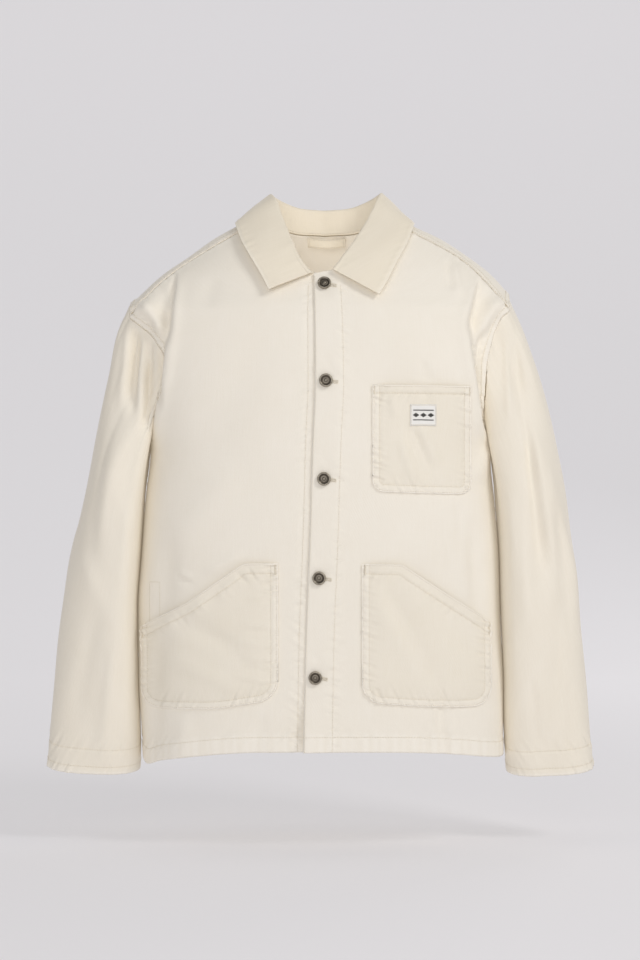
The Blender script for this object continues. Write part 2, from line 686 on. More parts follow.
def backHalf(side, neckColumns, columns, hemRows, armRows, overRows):
    hemPart = 8 / 17
    up = joined(
        hemPart * np.linspace(0, 1, hemRows + 1), hemPart + (1 - hemPart) * np.linspace(0, 1, armRows + 1)
    )
    turn = backPanel["turn"]
    neckWide = turn["x"][3] / backPanel["halfWidth"]
    rest = 1 - (1 - denser(columns, 0.2)) ** 1.25
    neckPart = np.linspace(0, 1, neckColumns + 1)
    across = joined(neckWide * neckPart, neckWide + (1 - neckWide) * rest)
    shares = joined(
        backPanel["neckShare"] * neckPart, backPanel["neckShare"] + (1 - backPanel["neckShare"]) * rest
    )
    arm = armCurve(side, 1, (up[hemRows:] - hemPart) / (1 - hemPart))
    outer = np.concatenate((sideSeam(side, up[:hemRows] / hemPart), arm))
    tip = bodyPoint(side, *arm[-1])
    line = {name: np.append(turn[name], end) for name, end in (("share", 1.0), ("x", tip[0]), ("y", tip[1]))}
    x = follow(line, "share", "x", shares)
    y = follow(line, "share", "y", shares)
    top = pair(*fromPlan(side, x, y))
    angle = np.radians(90.0 * (1 - across))
    bottom = pair(angle, follow(fronts["hem"], "angle", side, np.degrees(angle)))
    inner = pair(math.pi / 2, bottom[0, 1] + (top[0, 1] - bottom[0, 1]) * up)
    outer[-1] = top[-1]
    patch = fillBetween(bottom, top, inner, outer, across, up, late=6)
    # rows over the shoulder end at the back neck and at the shoulder seam
    shoulder = curveOn(fronts["shoulder"][side], side, rest)
    seam = bodyPoint(side, *shoulder.T)
    neck = backPanel["neck"]
    seamEnds = (("share", 1.0), ("x", seam[0, 0]), ("y", seam[0, 1]))
    line = {name: np.append(neck[name], end) for name, end in seamEnds}
    endX = np.concatenate((follow(line, "share", "x", neckPart[:-1]), seam[:, 0]))
    endY = np.concatenate((follow(line, "share", "y", neckPart[:-1]), seam[:, 1]))
    over = []
    for step in np.linspace(0, 1, overRows + 1)[1:]:
        over.append(pair(*fromPlan(side, x + (endX - x) * step, y + (endY - y) * step)))
    over[-1][neckColumns:] = shoulder
    patch = np.concatenate((patch, np.array(over)))
    return bodyPlace(side, patch[..., 0], patch[..., 1])


def backPoints(neckColumns, columns, hemRows, armRows, overRows):
    left = backHalf("left", neckColumns, columns, hemRows, armRows, overRows)
    right = backHalf("right", neckColumns, columns, hemRows, armRows, overRows)
    middle = (left[:, :1] + right[:, :1]) / 2
    return np.concatenate((left[:, :0:-1], middle, right[:, 1:]), axis=1)


# sleeves


def resample(line, shares):  # points along a line at shares of its length
    run = np.concatenate(([0], np.cumsum(np.linalg.norm(np.diff(line, axis=0), axis=1))))
    return np.stack([np.interp(shares * run[-1], run, line[:, k]) for k in range(3)], -1)


def sleevePoints(side, fore, rear, columns, length):
    sign = 1 if side == "right" else -1
    loop = resample(np.concatenate((fore, rear[-2::-1])), np.linspace(0, 1, columns + 1)) * (sign, 1, 1)
    along = np.concatenate(([0], np.cumsum(np.linalg.norm(np.diff(loop, axis=0), axis=1))))
    crossing = np.interp(0.0, loop[columns // 4 : -12, 1], along[columns // 4 : -12])
    angle = np.where(
        along <= crossing,
        math.pi * (1 - along / crossing),
        -math.pi * (along - crossing) / (along[-1] - crossing),
    )[None, :]
    share = denser(length, 0.3)[:, None]
    form = sleeves["form"]
    front, back, square, outerY, innerY, clear = (
        follow(form, "share", name, share)
        for name in ("front", "back", "square", "outerY", "innerY", "clear")
    )
    outerLevel = sleeves["tip"][side] + (sleeves["cuffOuter"][side] - sleeves["tip"][side]) * share
    innerLevel = underarm + (sleeves["cuffInner"][side] - underarm) * share
    outerX = follow(sleeves["outer"], "level", side, outerLevel)
    innerX = follow(bodyForm, "level", side, innerLevel) + clear
    across = power(np.cos(angle), 2 / square)
    around = power(np.sin(angle), 2 / square)
    depth = np.where(angle > 0, front, back)
    x = (outerX + innerX) / 2 + (outerX - innerX) / 2 * across
    y = (outerY + innerY) / 2 + (outerY - innerY) / 2 * across - depth * around
    level = (outerLevel + innerLevel) / 2 + (outerLevel - innerLevel) / 2 * across
    tube = np.stack((x, y, level - sleeves["cuffTilt"] * share * around), -1)
    away = tube - np.mean(tube, axis=1, keepdims=True)
    away = away / np.linalg.norm(away, axis=-1, keepdims=True)
    degrees = np.degrees(angle)
    for row in zip(*sleeves["broad"].values()):
        rowSide, angle0, share0, angle1, share1, width, height = row
        if rowSide != sign:
            continue
        a0, a1, s0, s1 = angle0 / width, angle1 / width, share0 * 14, share1 * 14
        run = (a1 - a0) ** 2 + (s1 - s0) ** 2
        t = ((degrees / width - a0) * (a1 - a0) + (share * 14 - s0) * (s1 - s0)) / run
        t = np.clip(t, -endRun, 1 + endRun)
        near = np.hypot(degrees / width - a0 - t * (a1 - a0), share * 14 - s0 - t * (s1 - s0))
        tube = tube + away * (height * dieOut(t) * np.exp(-(near**2)))[..., None]
    fade = 1 - smooth(share / 0.30)
    tube = tube + fade[..., None] * (loop[None] - tube[:1])
    low = smooth((np.abs(degrees) - np.where(degrees < 0, 40, 75)) / 35) * (1 - smooth(share / 0.18))
    push = np.stack((np.full(angle.shape, 1.0), -np.sin(angle) * 0.6, np.zeros(angle.shape)), -1)
    tube = tube + low[..., None] * sleeves["underarmLift"] * push
    return tube * (sign, 1, 1)


# cloth detail shared by every panel


def normalsOf(points, turn=1):
    along = np.gradient(points, axis=0)
    across = np.gradient(points, axis=1)
    normal = np.cross(across, along) * turn
    return normal / np.maximum(np.linalg.norm(normal, axis=-1, keepdims=True), 1e-12)


def runs(points):  # distances up each column and along each row
    up = np.linalg.norm(np.diff(points, axis=0), axis=-1)
    across = np.linalg.norm(np.diff(points, axis=1), axis=-1)
    up = np.concatenate((np.zeros((1, points.shape[1])), np.cumsum(up, axis=0)))
    across = np.concatenate((np.zeros((points.shape[0], 1)), np.cumsum(across, axis=1)), axis=1)
    return up, across


def wander(s, seed, scale=1.0):  # an uneven wave with no repeat that shows
    total = np.zeros(np.shape(s))
    for k, (pitch, weight) in enumerate(((0.0091, 0.5), (0.0137, 0.8), (0.0233, 0.55), (0.0061, 0.3))):
        phase = math.sin(seed * 12.9898 + k * 78.233) * 43.7
        total = (
            total
            + weight * np.cos(2 * math.pi * s / (pitch * scale) + phase + 1.7 * np.sin(s / 0.031 + phase))
        )
    return total


puckerStrength = 1.8  # every pucker is this many times the height it is given


def puckers(s, away, at, reach, height, seed, skew=0.0, scale=1.0):
    # short ridges that a row of stitches gathers in the cloth either side of it
    patchy = 0.55 + 0.45 * np.sin(s / 0.047 + seed) * np.sin(s / 0.021 + 2.3 * seed)
    near = np.exp(-(((away - at) / reach) ** 2))
    return puckerStrength * height * near * patchy * wander(s + skew * (away - at), seed, scale)


def groove(away, at, width, depth):
    return -depth * np.exp(-(((away - at) / width) ** 2))


def ply(away, edge, height, soft=0.0012):  # the extra layers of a turned edge
    return height * smooth((edge - away) / soft + 0.5)


def drawnBack(points, gap, edges):
    drawn = points.copy()
    pairs = {
        "inner": (np.s_[:, 0], np.s_[:, 1]),
        "outer": (np.s_[:, -1], np.s_[:, -2]),
        "top": (np.s_[-1], np.s_[-2]),
        "bottom": (np.s_[0], np.s_[1]),
    }
    for name in edges:
        edge, inner = pairs[name]
        inwards = points[inner] - points[edge]
        length = np.linalg.norm(inwards, axis=-1, keepdims=True)
        drawn[edge] = drawn[edge] + inwards / np.maximum(length, 1e-6) * np.minimum(gap, 0.6 * length)
    return drawn


# stitches, gathered as they are laid and made as one piece of thread for each part

thread = {"length": 0.0024, "pitch": 0.0034, "width": 0.00062, "height": 0.00034, "lift": 0.00030}
threadRuns = {}


def sew(part, line, normals, pitch=None, length=None, width=None):
    step = np.linalg.norm(np.diff(line, axis=0), axis=1)
    keep = np.concatenate(([True], step > 1e-6))
    line, normals = line[keep], normals[keep]
    run = np.concatenate(([0], np.cumsum(np.linalg.norm(np.diff(line, axis=0), axis=1))))
    if run[-1] < 0.004:
        return
    pitch = pitch or thread["pitch"]
    count = max(int(run[-1] / pitch), 1)
    at = (np.arange(count) + 0.5) * run[-1] / count
    centre = np.stack([np.interp(at, run, line[:, k]) for k in range(3)], -1)
    ahead = np.stack([np.interp(at + 0.0006, run, line[:, k]) for k in range(3)], -1)
    behind = np.stack([np.interp(at - 0.0006, run, line[:, k]) for k in range(3)], -1)
    up = np.stack([np.interp(at, run, normals[:, k]) for k in range(3)], -1)
    tangent = ahead - behind
    tangent /= np.maximum(np.linalg.norm(tangent, axis=1, keepdims=True), 1e-9)
    up -= np.sum(up * tangent, 1, keepdims=True) * tangent
    up /= np.linalg.norm(up, axis=1, keepdims=True)
    size = np.tile((length or thread["length"], width or thread["width"]), (count, 1))
    threadRuns.setdefault(part, []).append((centre, tangent, up, size))


def rowLine(points, normals, away, at, first=0, last=None):  # line at a distance from a panel's side
    last = len(points) if last is None else last % len(points)
    line, ups = [], []
    for r in range(first, last):
        line.append([np.interp(at, away[r], points[r, :, k]) for k in range(3)])
        ups.append([np.interp(at, away[r], normals[r, :, k]) for k in range(3)])
    return np.array(line), np.array(ups)


def sewBeside(part, points, normals, away, at, edge, first=0, last=None, surface=0.0):
    if edge in ("outer", "top"):
        flip = np.s_[:, ::-1] if edge == "outer" else np.s_[::-1]
        points, normals, away = points[flip], normals[flip], away[flip]
    if edge in ("bottom", "top"):
        points, normals, away = points.swapaxes(0, 1), normals.swapaxes(0, 1), away.T
    line, ups = rowLine(points, normals, away, at, first, last)
    sew(part, line + ups * (surface + thread["lift"]), ups)


# meshes


pieces = {}


def clothPiece(name, points, wall, cloth, uvSize, turn=1, closed=False, tone=None):
    r, c = points.shape[0] - 1, points.shape[1] - 1
    bm = bmesh.new()
    bmesh.ops.create_grid(bm, x_segments=c, y_segments=r, size=0.5)
    mesh = bpy.data.meshes.new(name + "_cloth")
    bm.to_mesh(mesh)
    bm.free()
    flat = np.empty(len(mesh.vertices) * 3)
    mesh.vertices.foreach_get("co", flat)
    flat = flat.reshape(-1, 3)
    row = np.rint((flat[:, 1] + 0.5) * r).astype(int)
    column = np.rint((flat[:, 0] + 0.5) * c).astype(int)
    mesh.vertices.foreach_set("co", points[row, column].astype(np.float32).ravel())
    u, v = uvSize
    places = np.stack((u[row, column], v[row, column]), -1)
    corner = np.empty(len(mesh.loops), np.int32)
    mesh.loops.foreach_get("vertex_index", corner)
    uv = mesh.uv_layers.new(name="cloth")
    uv.data.foreach_set("uv", places[corner].astype(np.float32).ravel())
    if tone is not None:
        rub = mesh.attributes.new("rub", "FLOAT", "POINT")
        rub.data.foreach_set("value", tone[row, column].astype(np.float32))
    if turn < 0:
        mesh.flip_normals()
    if closed:
        bm = bmesh.new()
        bm.from_mesh(mesh)
        bmesh.ops.remove_doubles(bm, verts=bm.verts, dist=0.00002)
        bm.to_mesh(mesh)
        bm.free()
    mesh.shade_smooth()
    mesh.materials.append(cloth)
    piece = bpy.data.objects.new(name + "_cloth", mesh)
    pieces[name] = piece
    bpy.context.scene.collection.objects.link(piece)
    solid = piece.modifiers.new("wall", "SOLIDIFY")
    solid.thickness = wall
    solid.offset = 0.0
    solid.use_even_offset = False
    return piece


def wear(piece, node):
    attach(piece, "root")
    if node:
        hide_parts(*([node] if isinstance(node, str) else node))
    return piece


# materials


def linear(hexColour):
    channels = [int(hexColour[i : i + 2], 16) / 255 for i in (1, 3, 5)]
    return (*[c / 12.92 if c <= 0.04045 else ((c + 0.055) / 1.055) ** 2.4 for c in channels], 1.0)


def addNode(tree, kind, links=(), **settings):  # links: (input name, output socket)
    node = tree.nodes.new(kind)
    for name, value in settings.items():
        if name in node.inputs:
            node.inputs[name].default_value = value
        else:
            setattr(node, name, value)
    for name, socket in links:
        tree.links.new(socket, node.inputs[name])
    return node


def addUp(tree, one, other, operation="ADD"):  # two sockets brought together
    return addNode(tree, "ShaderNodeMath", [(0, one), (1, other)], operation=operation).outputs[0]


def startMaterial(name, roughness, **constants):
    made = bpy.data.materials.new(name)
    made.use_nodes = True
    shader = made.node_tree.nodes["Principled BSDF"]
    shader.inputs["Roughness"].default_value = roughness
    for label, value in constants.items():
        shader.inputs[label].default_value = value
    return made, made.node_tree, shader


def twillCloth(name, light, shade, rubbed, seed, weave=1.0):
    # Undyed right-hand cotton twill: a matte steep diagonal, slubs along the warp and a faint nap.
    made, tree, shader = startMaterial(
        name, 0.88, **{"Sheen Weight": 0.22, "Sheen Roughness": 0.45, "Specular IOR Level": 0.28}
    )
    # a little light comes through the cloth and warms its deepest folds
    shader.inputs["Emission Color"].default_value = linear("#E8DAC0")
    shader.inputs["Emission Strength"].default_value = 0.055
    place = addNode(tree, "ShaderNodeUVMap", uv_map="cloth")
    onCloth = [("Vector", place.outputs["UV"])]
    mm = 1000.0
    lineGap = 1.5
    turned = addNode(tree, "ShaderNodeMapping", onCloth, Rotation=(0, 0, math.radians(63)))
    # the real lines are 0.9 mm apart; 1.5 mm is the finest that still shows
    lines = addNode(
        tree, "ShaderNodeTexWave", [("Vector", turned.outputs["Vector"])],
        Scale=mm / lineGap * 0.05 * math.pi, Distortion=0.6, Detail=1.0,
    )
    lines.bands_direction = "Y"
    warp = addNode(
        tree, "ShaderNodeMapping", onCloth, Scale=(mm / 1.3, mm / 34, 1.0), Location=(seed, seed, 0)
    )
    slub = addNode(tree, "ShaderNodeTexNoise", [("Vector", warp.outputs["Vector"])], Scale=1.0, Detail=3.0)
    weft = addNode(
        tree, "ShaderNodeMapping", onCloth, Scale=(mm / 26, mm / 1.4, 1.0), Location=(seed, 0, seed)
    )
    cross = addNode(tree, "ShaderNodeTexNoise", [("Vector", weft.outputs["Vector"])], Scale=1.0, Detail=2.0)
    cloud = addNode(tree, "ShaderNodeTexNoise", onCloth, Scale=mm / 70, Detail=3.0)
    fleck = addNode(tree, "ShaderNodeTexNoise", onCloth, Scale=mm / 2.6, Detail=2.0)
    faint = addNode(tree, "ShaderNodeMath", [(0, cross.outputs["Fac"])], operation="MULTIPLY")
    faint.inputs[1].default_value = 0.45
    streak = addUp(tree, slub.outputs["Fac"], faint.outputs[0])
    yarn = addUp(tree, streak, cloud.outputs["Fac"])
    ramp = addNode(tree, "ShaderNodeMapRange", [("Value", yarn)], **{"From Min": 0.75, "From Max": 1.70})
    tone = addNode(tree, "ShaderNodeMix", [("Factor", ramp.outputs["Result"])], data_type="RGBA")
    tone.inputs["A"].default_value = linear(shade)
    tone.inputs["B"].default_value = linear(light)
    rub = addNode(tree, "ShaderNodeAttribute", attribute_name="rub")
    worn = addNode(
        tree,
        "ShaderNodeMix",
        [("Factor", rub.outputs["Fac"]), ("A", tone.outputs["Result"])],
        data_type="RGBA",
    )
    worn.inputs["B"].default_value = linear(rubbed)
    tree.links.new(worn.outputs["Result"], shader.inputs["Base Color"])
    weaveHeight = addNode(tree, "ShaderNodeMath", [(0, lines.outputs["Fac"])], operation="MULTIPLY")
    weaveHeight.inputs[1].default_value = 0.55
    slubHeight = addUp(tree, streak, weaveHeight.outputs[0])
    grain = addUp(tree, fleck.outputs["Fac"], slubHeight)
    bump = addNode(tree, "ShaderNodeBump", [("Height", grain)], Strength=0.24 * weave, Distance=0.00030)
    tree.links.new(bump.outputs["Normal"], shader.inputs["Normal"])
    return made


def sewingThread():
    # Mercerised cotton thread: a little brighter and glossier than the cloth.
    made, tree, shader = startMaterial("cotton sewing thread", 0.62, **{"Sheen Weight": 0.15})
    place = addNode(tree, "ShaderNodeTexCoord")
    ply2 = addNode(tree, "ShaderNodeTexNoise", [("Vector", place.outputs["Object"])], Scale=900.0, Detail=1.0)
    tone = addNode(tree, "ShaderNodeMix", [("Factor", ply2.outputs["Fac"])], data_type="RGBA")
    tone.inputs["A"].default_value = linear("#DCD1BA")
    tone.inputs["B"].default_value = linear("#F2EADA")
    tree.links.new(tone.outputs["Result"], shader.inputs["Base Color"])
    return made


def antiquedMetal():
    # Zinc alloy plated dark and rubbed back: bright on the rings, nearly black in the hollows.
    made, tree, shader = startMaterial("antiqued tack button metal", 0.36, **{"Metallic": 0.92})
    place = addNode(tree, "ShaderNodeTexCoord")
    geometry = addNode(tree, "ShaderNodeNewGeometry")
    stain = addNode(
        tree, "ShaderNodeTexNoise", [("Vector", place.outputs["Object"])], Scale=420.0, Detail=4.0
    )
    high = addNode(
        tree,
        "ShaderNodeMapRange",
        [("Value", geometry.outputs["Pointiness"])],
        **{"From Min": 0.47, "From Max": 0.56},
    )
    mixed = addUp(tree, high.outputs["Result"], stain.outputs["Fac"], "MULTIPLY")
    tone = addNode(tree, "ShaderNodeMix", [("Factor", mixed)], data_type="RGBA")
    tone.inputs["A"].default_value = linear("#4A433A")
    tone.inputs["B"].default_value = linear("#C6BCAA")
    tree.links.new(tone.outputs["Result"], shader.inputs["Base Color"])
    rough = addNode(
        tree, "ShaderNodeMapRange", [("Value", stain.outputs["Fac"])], **{"To Min": 0.26, "To Max": 0.55}
    )
    tree.links.new(rough.outputs["Result"], shader.inputs["Roughness"])
    bump = addNode(tree, "ShaderNodeBump", [("Height", stain.outputs["Fac"])], Strength=0.25, Distance=0.0002)
    tree.links.new(bump.outputs["Normal"], shader.inputs["Normal"])
    return made


def wovenLabel(name, light, dark):
    # Damask-woven polyester: fine level ribs with a slight silky gloss.
    made, tree, shader = startMaterial(name, 0.55, **{"Sheen Weight": 0.2})
    place = addNode(tree, "ShaderNodeTexCoord")
    ribs = addNode(
        tree,
        "ShaderNodeTexWave",
        [("Vector", place.outputs["Object"])],
        Scale=260.0,
        Distortion=0.4,
        bands_direction="Z",
    )
    tone = addNode(tree, "ShaderNodeMix", [("Factor", ribs.outputs["Fac"])], data_type="RGBA")
    tone.inputs["A"].default_value = linear(dark)
    tone.inputs["B"].default_value = linear(light)
    tree.links.new(tone.outputs["Result"], shader.inputs["Base Color"])
    bump = addNode(tree, "ShaderNodeBump", [("Height", ribs.outputs["Fac"])], Strength=0.4, Distance=0.0002)
    tree.links.new(bump.outputs["Normal"], shader.inputs["Normal"])
    return made


twill = twillCloth("undyed cotton twill", "#F0EADE", "#ECE5D7", "#F6F1E7", 0.0)
sleeveTwill = twillCloth("undyed cotton twill, sleeves", "#EFE8DA", "#EAE2D2", "#F6F1E7", 3.7)
pocketTwill = twillCloth("undyed cotton twill, pockets", "#EDE6D8", "#E8E0CF", "#F6F0E5", 7.1)
collarTwill = twillCloth("undyed cotton twill, collar", "#EEE5D3", "#E9DFCB", "#F4EDDE", 5.3, 0.8)
threadCotton = sewingThread()
metal = antiquedMetal()
labelCloth = wovenLabel("woven label ground", "#F8F6F1", "#EAE7E0")
labelInk = wovenLabel("woven label motif", "#4A4843", "#2E2D2A")


# body panels


grids = {
    "front": ((112, 140, 104, 58)),
    "back": ((28, 62, 110, 80, 24)),
    "sleeve": ((168, 188)),
    "pocket": 84,
}


def makeFront(side, node):
    _, points, hemRow, neckRow = frontPoints(side, *grids["front"])
    turn = 1 if side == "right" else -1
    normals = normalsOf(points, turn)
    up, across = runs(points)
    fromOuter = across[:, -1:] - across
    fromTop = up[-1:] - up
    level = points[..., 2]
    x = np.abs(points[..., 0])
    rowIndex = np.arange(points.shape[0])[:, None]
    atHem = smooth((fronts["hemDepth"] + 0.006 - up) / 0.006)
    seed = 1.3 if side == "right" else 4.1
    rise = ply(up, fronts["hemDepth"], 0.0009) + groove(up, fronts["hemDepth"] - 0.0015, 0.0016, 0.0007)
    rise = rise + puckers(across, up, fronts["hemDepth"], 0.012, 0.00042, seed, 0.9)
    # front edge: folded facing, its stitch line and the soft dimples it leaves
    edgeRows = rowIndex <= neckRow
    facing = fronts["placket"]
    onEdge = np.where(edgeRows, 1.0, 0.0)
    rise = rise + onEdge * (ply(across, facing, 0.0007) + groove(across, facing - 0.001, 0.0016, 0.0009))
    rise = rise + onEdge * puckers(up, across, facing, 0.007, 0.00060, seed + 2, 0.4, 0.8)
    lower = smooth((-0.40 - level) / 0.12)
    rise = rise + onEdge * lower * puckers(up, across, facing, 0.010, 0.00055, seed + 5, -0.6)
    roundEdge = -0.0010 * np.exp(-((across / 0.0016) ** 2))
    rise = rise + onEdge * roundEdge
    if side == "right":
        for bx, bz in zip(buttons["places"]["x"], buttons["places"]["z"]):
            far = np.hypot(points[..., 0] - bx, level - bz)
            rise = (
                rise
                - 0.0010 * np.exp(-((far / 0.011) ** 2))
                + 0.0007 * np.exp(-(((far - 0.020) / 0.009) ** 2))
            )
            pull = np.exp(-(((points[..., 0] - bx - 0.020) * 0.8 - (bz - level) * 0.6) ** 2) / 0.004**2)
            pull = pull * np.exp(-((far - 0.020) / 0.012) ** 2)
            rise = rise - 0.0009 * pull
        # the free edge lifts off below the last button
        rise = rise + 0.0065 * smooth((-0.60 - level) / 0.09) * np.exp(-((across / 0.026) ** 2)) * onEdge
    else:
        rise = rise - 0.0050 * smooth((-0.60 - level) / 0.09) * np.exp(-((across / 0.050) ** 2)) * onEdge
    # shoulder seam, armhole and side seam
    armRows = np.where(rowIndex >= hemRow, 1.0, 0.0)
    rise = rise + 0.0006 * np.exp(-(((fromTop - 0.004) / 0.003) ** 2)) + groove(fromTop, 0.0, 0.0014, 0.0010)
    rise = rise + puckers(across, fromTop, 0.006, 0.007, 0.00030, seed + 7)
    rise = (
        rise
        + armRows * (0.0008 * smooth((0.0095 - fromOuter) / 0.002) + groove(fromOuter, 0.0, 0.0012, 0.0010))
    )
    rise = rise + armRows * puckers(up, fromOuter, 0.007, 0.008, 0.00050, seed + 9, 0.5)
    rise = (
        rise
        + (1 - armRows)
        * (groove(fromOuter, 0.0, 0.0016, 0.0008) + puckers(up, fromOuter, 0.003, 0.007, 0.0003, seed + 3))
    )
    soft = 0.0007 * np.sin(x / 0.031 + level / 0.083 + seed) * np.sin(level / 0.057 - x / 0.12 + 2 * seed)
    rise = rise + soft * smooth(fromOuter / 0.03) * smooth(across / 0.05) * smooth(fromTop / 0.03)
    points = points + normals * rise[..., None]
    normals = normalsOf(points, turn)
    edges = ("inner", "outer", "top") if side == "right" else ("outer", "top")
    shaped = drawnBack(points, sizes["seamGap"], edges)
    tone = (
        0.55 * np.exp(-(fromOuter / 0.004) ** 2) * armRows
        + 0.5 * atHem * (0.5 + 0.5 * np.tanh(wander(across, 2)))
    )
    tone = tone + onEdge * 0.5 * np.exp(-((across / 0.002) ** 2))
    piece = clothPiece(node, shaped, sizes["wall"], twill, (across, up), turn, tone=np.clip(tone, 0, 1))
    wear(piece, node)
    skin = sizes["wall"] / 2
    part = "stitches_" + node
    sewBeside(part, points, normals, up, fronts["hemDepth"] - 0.0015, "bottom", surface=skin)
    sewBeside(part, points, normals, across, facing - 0.001, "inner", 0, neckRow, surface=skin)
    sewBeside(part, points, normals, across, 0.0022, "inner", 0, neckRow, surface=skin)
    for gap in (0.0018, 0.0082):
        sewBeside(part, points, normals, fromOuter, gap, "outer", hemRow, None, surface=skin)
    return points


def makeBack():
    points = backPoints(*grids["back"])
    neckColumns, _, hemRows, _, _ = grids["back"]
    normals = normalsOf(points, -1)
    up, across = runs(points)
    fromRight = across[:, -1:] - across
    fromSide = np.minimum(across, fromRight)
    fromTop = up[-1:] - up
    rowIndex = np.arange(points.shape[0])[:, None]
    armRows2 = np.where(rowIndex >= hemRows, 1.0, 0.0)
    middle = points.shape[1] // 2
    columnIndex = np.arange(points.shape[1])[None, :]
    onShoulder = np.where(np.abs(columnIndex - middle) > neckColumns, 1.0, 0.0)
    rise = ply(up, fronts["hemDepth"], 0.0009) + groove(up, fronts["hemDepth"] - 0.0015, 0.0016, 0.0007)
    rise = rise + puckers(across, up, fronts["hemDepth"], 0.012, 0.00045, 6.2, 0.9)
    rise = (
        rise
        + onShoulder
        * (0.0009 * smooth((0.0095 - fromTop) / 0.002) + puckers(across, fromTop, 0.006, 0.007, 0.00034, 2.4))
    )
    rise = rise + groove(fromTop, 0.0, 0.0014, 0.0008) * onShoulder
    rise = (
        rise
        + armRows2 * (0.0008 * smooth((0.0095 - fromSide) / 0.002) + groove(fromSide, 0.0, 0.0012, 0.0010))
    )
    rise = rise + armRows2 * puckers(up, fromSide, 0.007, 0.008, 0.0005, 8.8, 0.5)
    rise = (
        rise
        + (1 - armRows2)
        * (groove(fromSide, 0.0, 0.0016, 0.0008) + puckers(up, fromSide, 0.004, 0.008, 0.0004, 5.5))
    )
    x, level = points[..., 0], points[..., 2]
    soft = 0.0010 * np.sin(x / 0.036 + level / 0.075) * np.sin(level / 0.049 - x / 0.11 + 1.3)
    rise = rise + soft * smooth(fromSide / 0.03) * smooth(fromTop / 0.05)
    points = points + normals * rise[..., None]
    normals = normalsOf(points, -1)
    shaped = drawnBack(points, sizes["seamGap"], ("inner", "outer", "top"))
    tone = (
        0.5 * np.exp(-((fromSide / 0.004) ** 2)) * armRows2
        + 0.5 * smooth((0.026 - up) / 0.006) * (0.5 + 0.5 * np.tanh(wander(across, 3)))
    )
    piece = clothPiece("back", shaped, sizes["wall"], twill, (across, up), -1, tone=np.clip(tone, 0, 1))
    wear(piece, "back")
    skin = sizes["wall"] / 2
    part = "stitches_back"
    sewBeside(part, points, normals, up, fronts["hemDepth"] - 0.0015, "bottom", surface=skin)
    sewBeside(part, points, normals, across, 0.0018, "inner", 0, hemRows, surface=skin)
    sewBeside(part, points, normals, fromRight, 0.0018, "outer", 0, hemRows, surface=skin)
    sewBeside(part, points, normals, across, 0.0082, "inner", surface=skin)
    sewBeside(part, points, normals, fromRight, 0.0082, "outer", surface=skin)
    sewBeside(part, points, normals, across, 0.0018, "inner", hemRows, surface=skin)
    sewBeside(part, points, normals, fromRight, 0.0018, "outer", hemRows, surface=skin)
    for first, last in ((0, middle - neckColumns), (middle + neckColumns + 1, None)):
        for gap in (0.0018, 0.0082):
            sewBeside(part, points, normals, fromTop, gap, "top", first, last, surface=skin)
    return points, hemRows


def makeSleeve(side, node, front, back, frontHemRow, backHemRow):
    columns, length = grids["sleeve"]
    fore = front[frontHemRow:, -1]
    rear = back[backHemRow:, -1] if side == "right" else back[backHemRow:, 0]
    points = sleevePoints(side, fore, rear, columns, length)
    turn = -1 if side == "right" else 1
    normals = normalsOf(points, turn)
    x, level = np.abs(points[..., 0]), points[..., 2]
    frontShare = smooth(-normals[..., 1] / 0.5)
    backShare = smooth(normals[..., 1] / 0.5)
    up, around = runs(points)
    rim = smooth(up / 0.012)
    points = (
        points
        + normals * (creaseRise(sleeveCreases, side, x, level, frontShare, backShare) * rim)[..., None]
    )
    normals = normalsOf(points, turn)
    up, around = runs(points)
    fromCuff = up[-1:] - up
    seed = 2.2 if side == "right" else 7.4
    facing = sleeves["cuffFacing"]
    rise = ply(fromCuff, facing, 0.0008) + groove(fromCuff, facing - 0.001, 0.0018, 0.0008)
    rise = rise + puckers(around, fromCuff, facing + 0.002, 0.014, 0.00045, seed, 0.5, 1.0)
    rise = rise + puckers(around, fromCuff, 0.004, 0.010, 0.00060, seed + 4, 0.4, 0.8)
    rise = rise + ply(fromCuff, 0.011, 0.0005) + groove(fromCuff, 0.010, 0.0014, 0.0006)
    rise = (
        rise
        + groove(up, 0.0, 0.0016, 0.0010)
        + puckers(around, up, 0.006, 0.010, 0.00055, seed + 1, 0.3, 1.3) * smooth(up / 0.003)
    )
    total = around[:, -1:]
    seamGap = np.minimum(around, total - around)
    rise = rise + groove(seamGap, 0.0, 0.0016, 0.0009) + puckers(up, seamGap, 0.003, 0.007, 0.0003, seed + 6)
    soft = 0.0009 * np.sin(around / 0.021 + level / 0.06 + seed) * np.sin(level / 0.043 + 2 * seed)
    rise = rise + soft * smooth(up / 0.03) * smooth(fromCuff / 0.03)
    # the side that lies against the body stays smooth
    against = 1 - 0.85 * smooth((-np.sign(points[..., 0]) * normals[..., 0] - 0.2) / 0.5)
    points = points + normals * (rise * against)[..., None]
    points[:, -1] = points[:, 0]
    normals = normalsOf(points, turn)
    shaped = drawnBack(points, sizes["armholeGap"], ("bottom",))
    tone = 0.6 * np.exp(-((fromCuff / 0.004) ** 2)) + 0.35 * np.exp(-((up / 0.004) ** 2))
    piece = clothPiece(
        node, shaped, sizes["wall"], sleeveTwill, (around, up), turn, closed=True, tone=np.clip(tone, 0, 1)
    )
    wear(piece, node)
    skin = sizes["wall"] / 2
    part = "stitches_" + node
    sewBeside(part, points, normals, fromCuff, facing - 0.001, "top", surface=skin)
    sewBeside(part, points, normals, fromCuff, 0.010, "top", surface=skin)
    return piece


leftPoints = makeFront("right", "front_left")
rightPoints = makeFront("left", "front_right")
backPointsMade, backHemRow = makeBack()
_, frontHemRow, _, _ = grids["front"]
makeSleeve("right", "sleeve_left", leftPoints, backPointsMade, frontHemRow, backHemRow)
makeSleeve("left", "sleeve_right", rightPoints, backPointsMade, frontHemRow, backHemRow)
print("body and sleeves made")


# collar


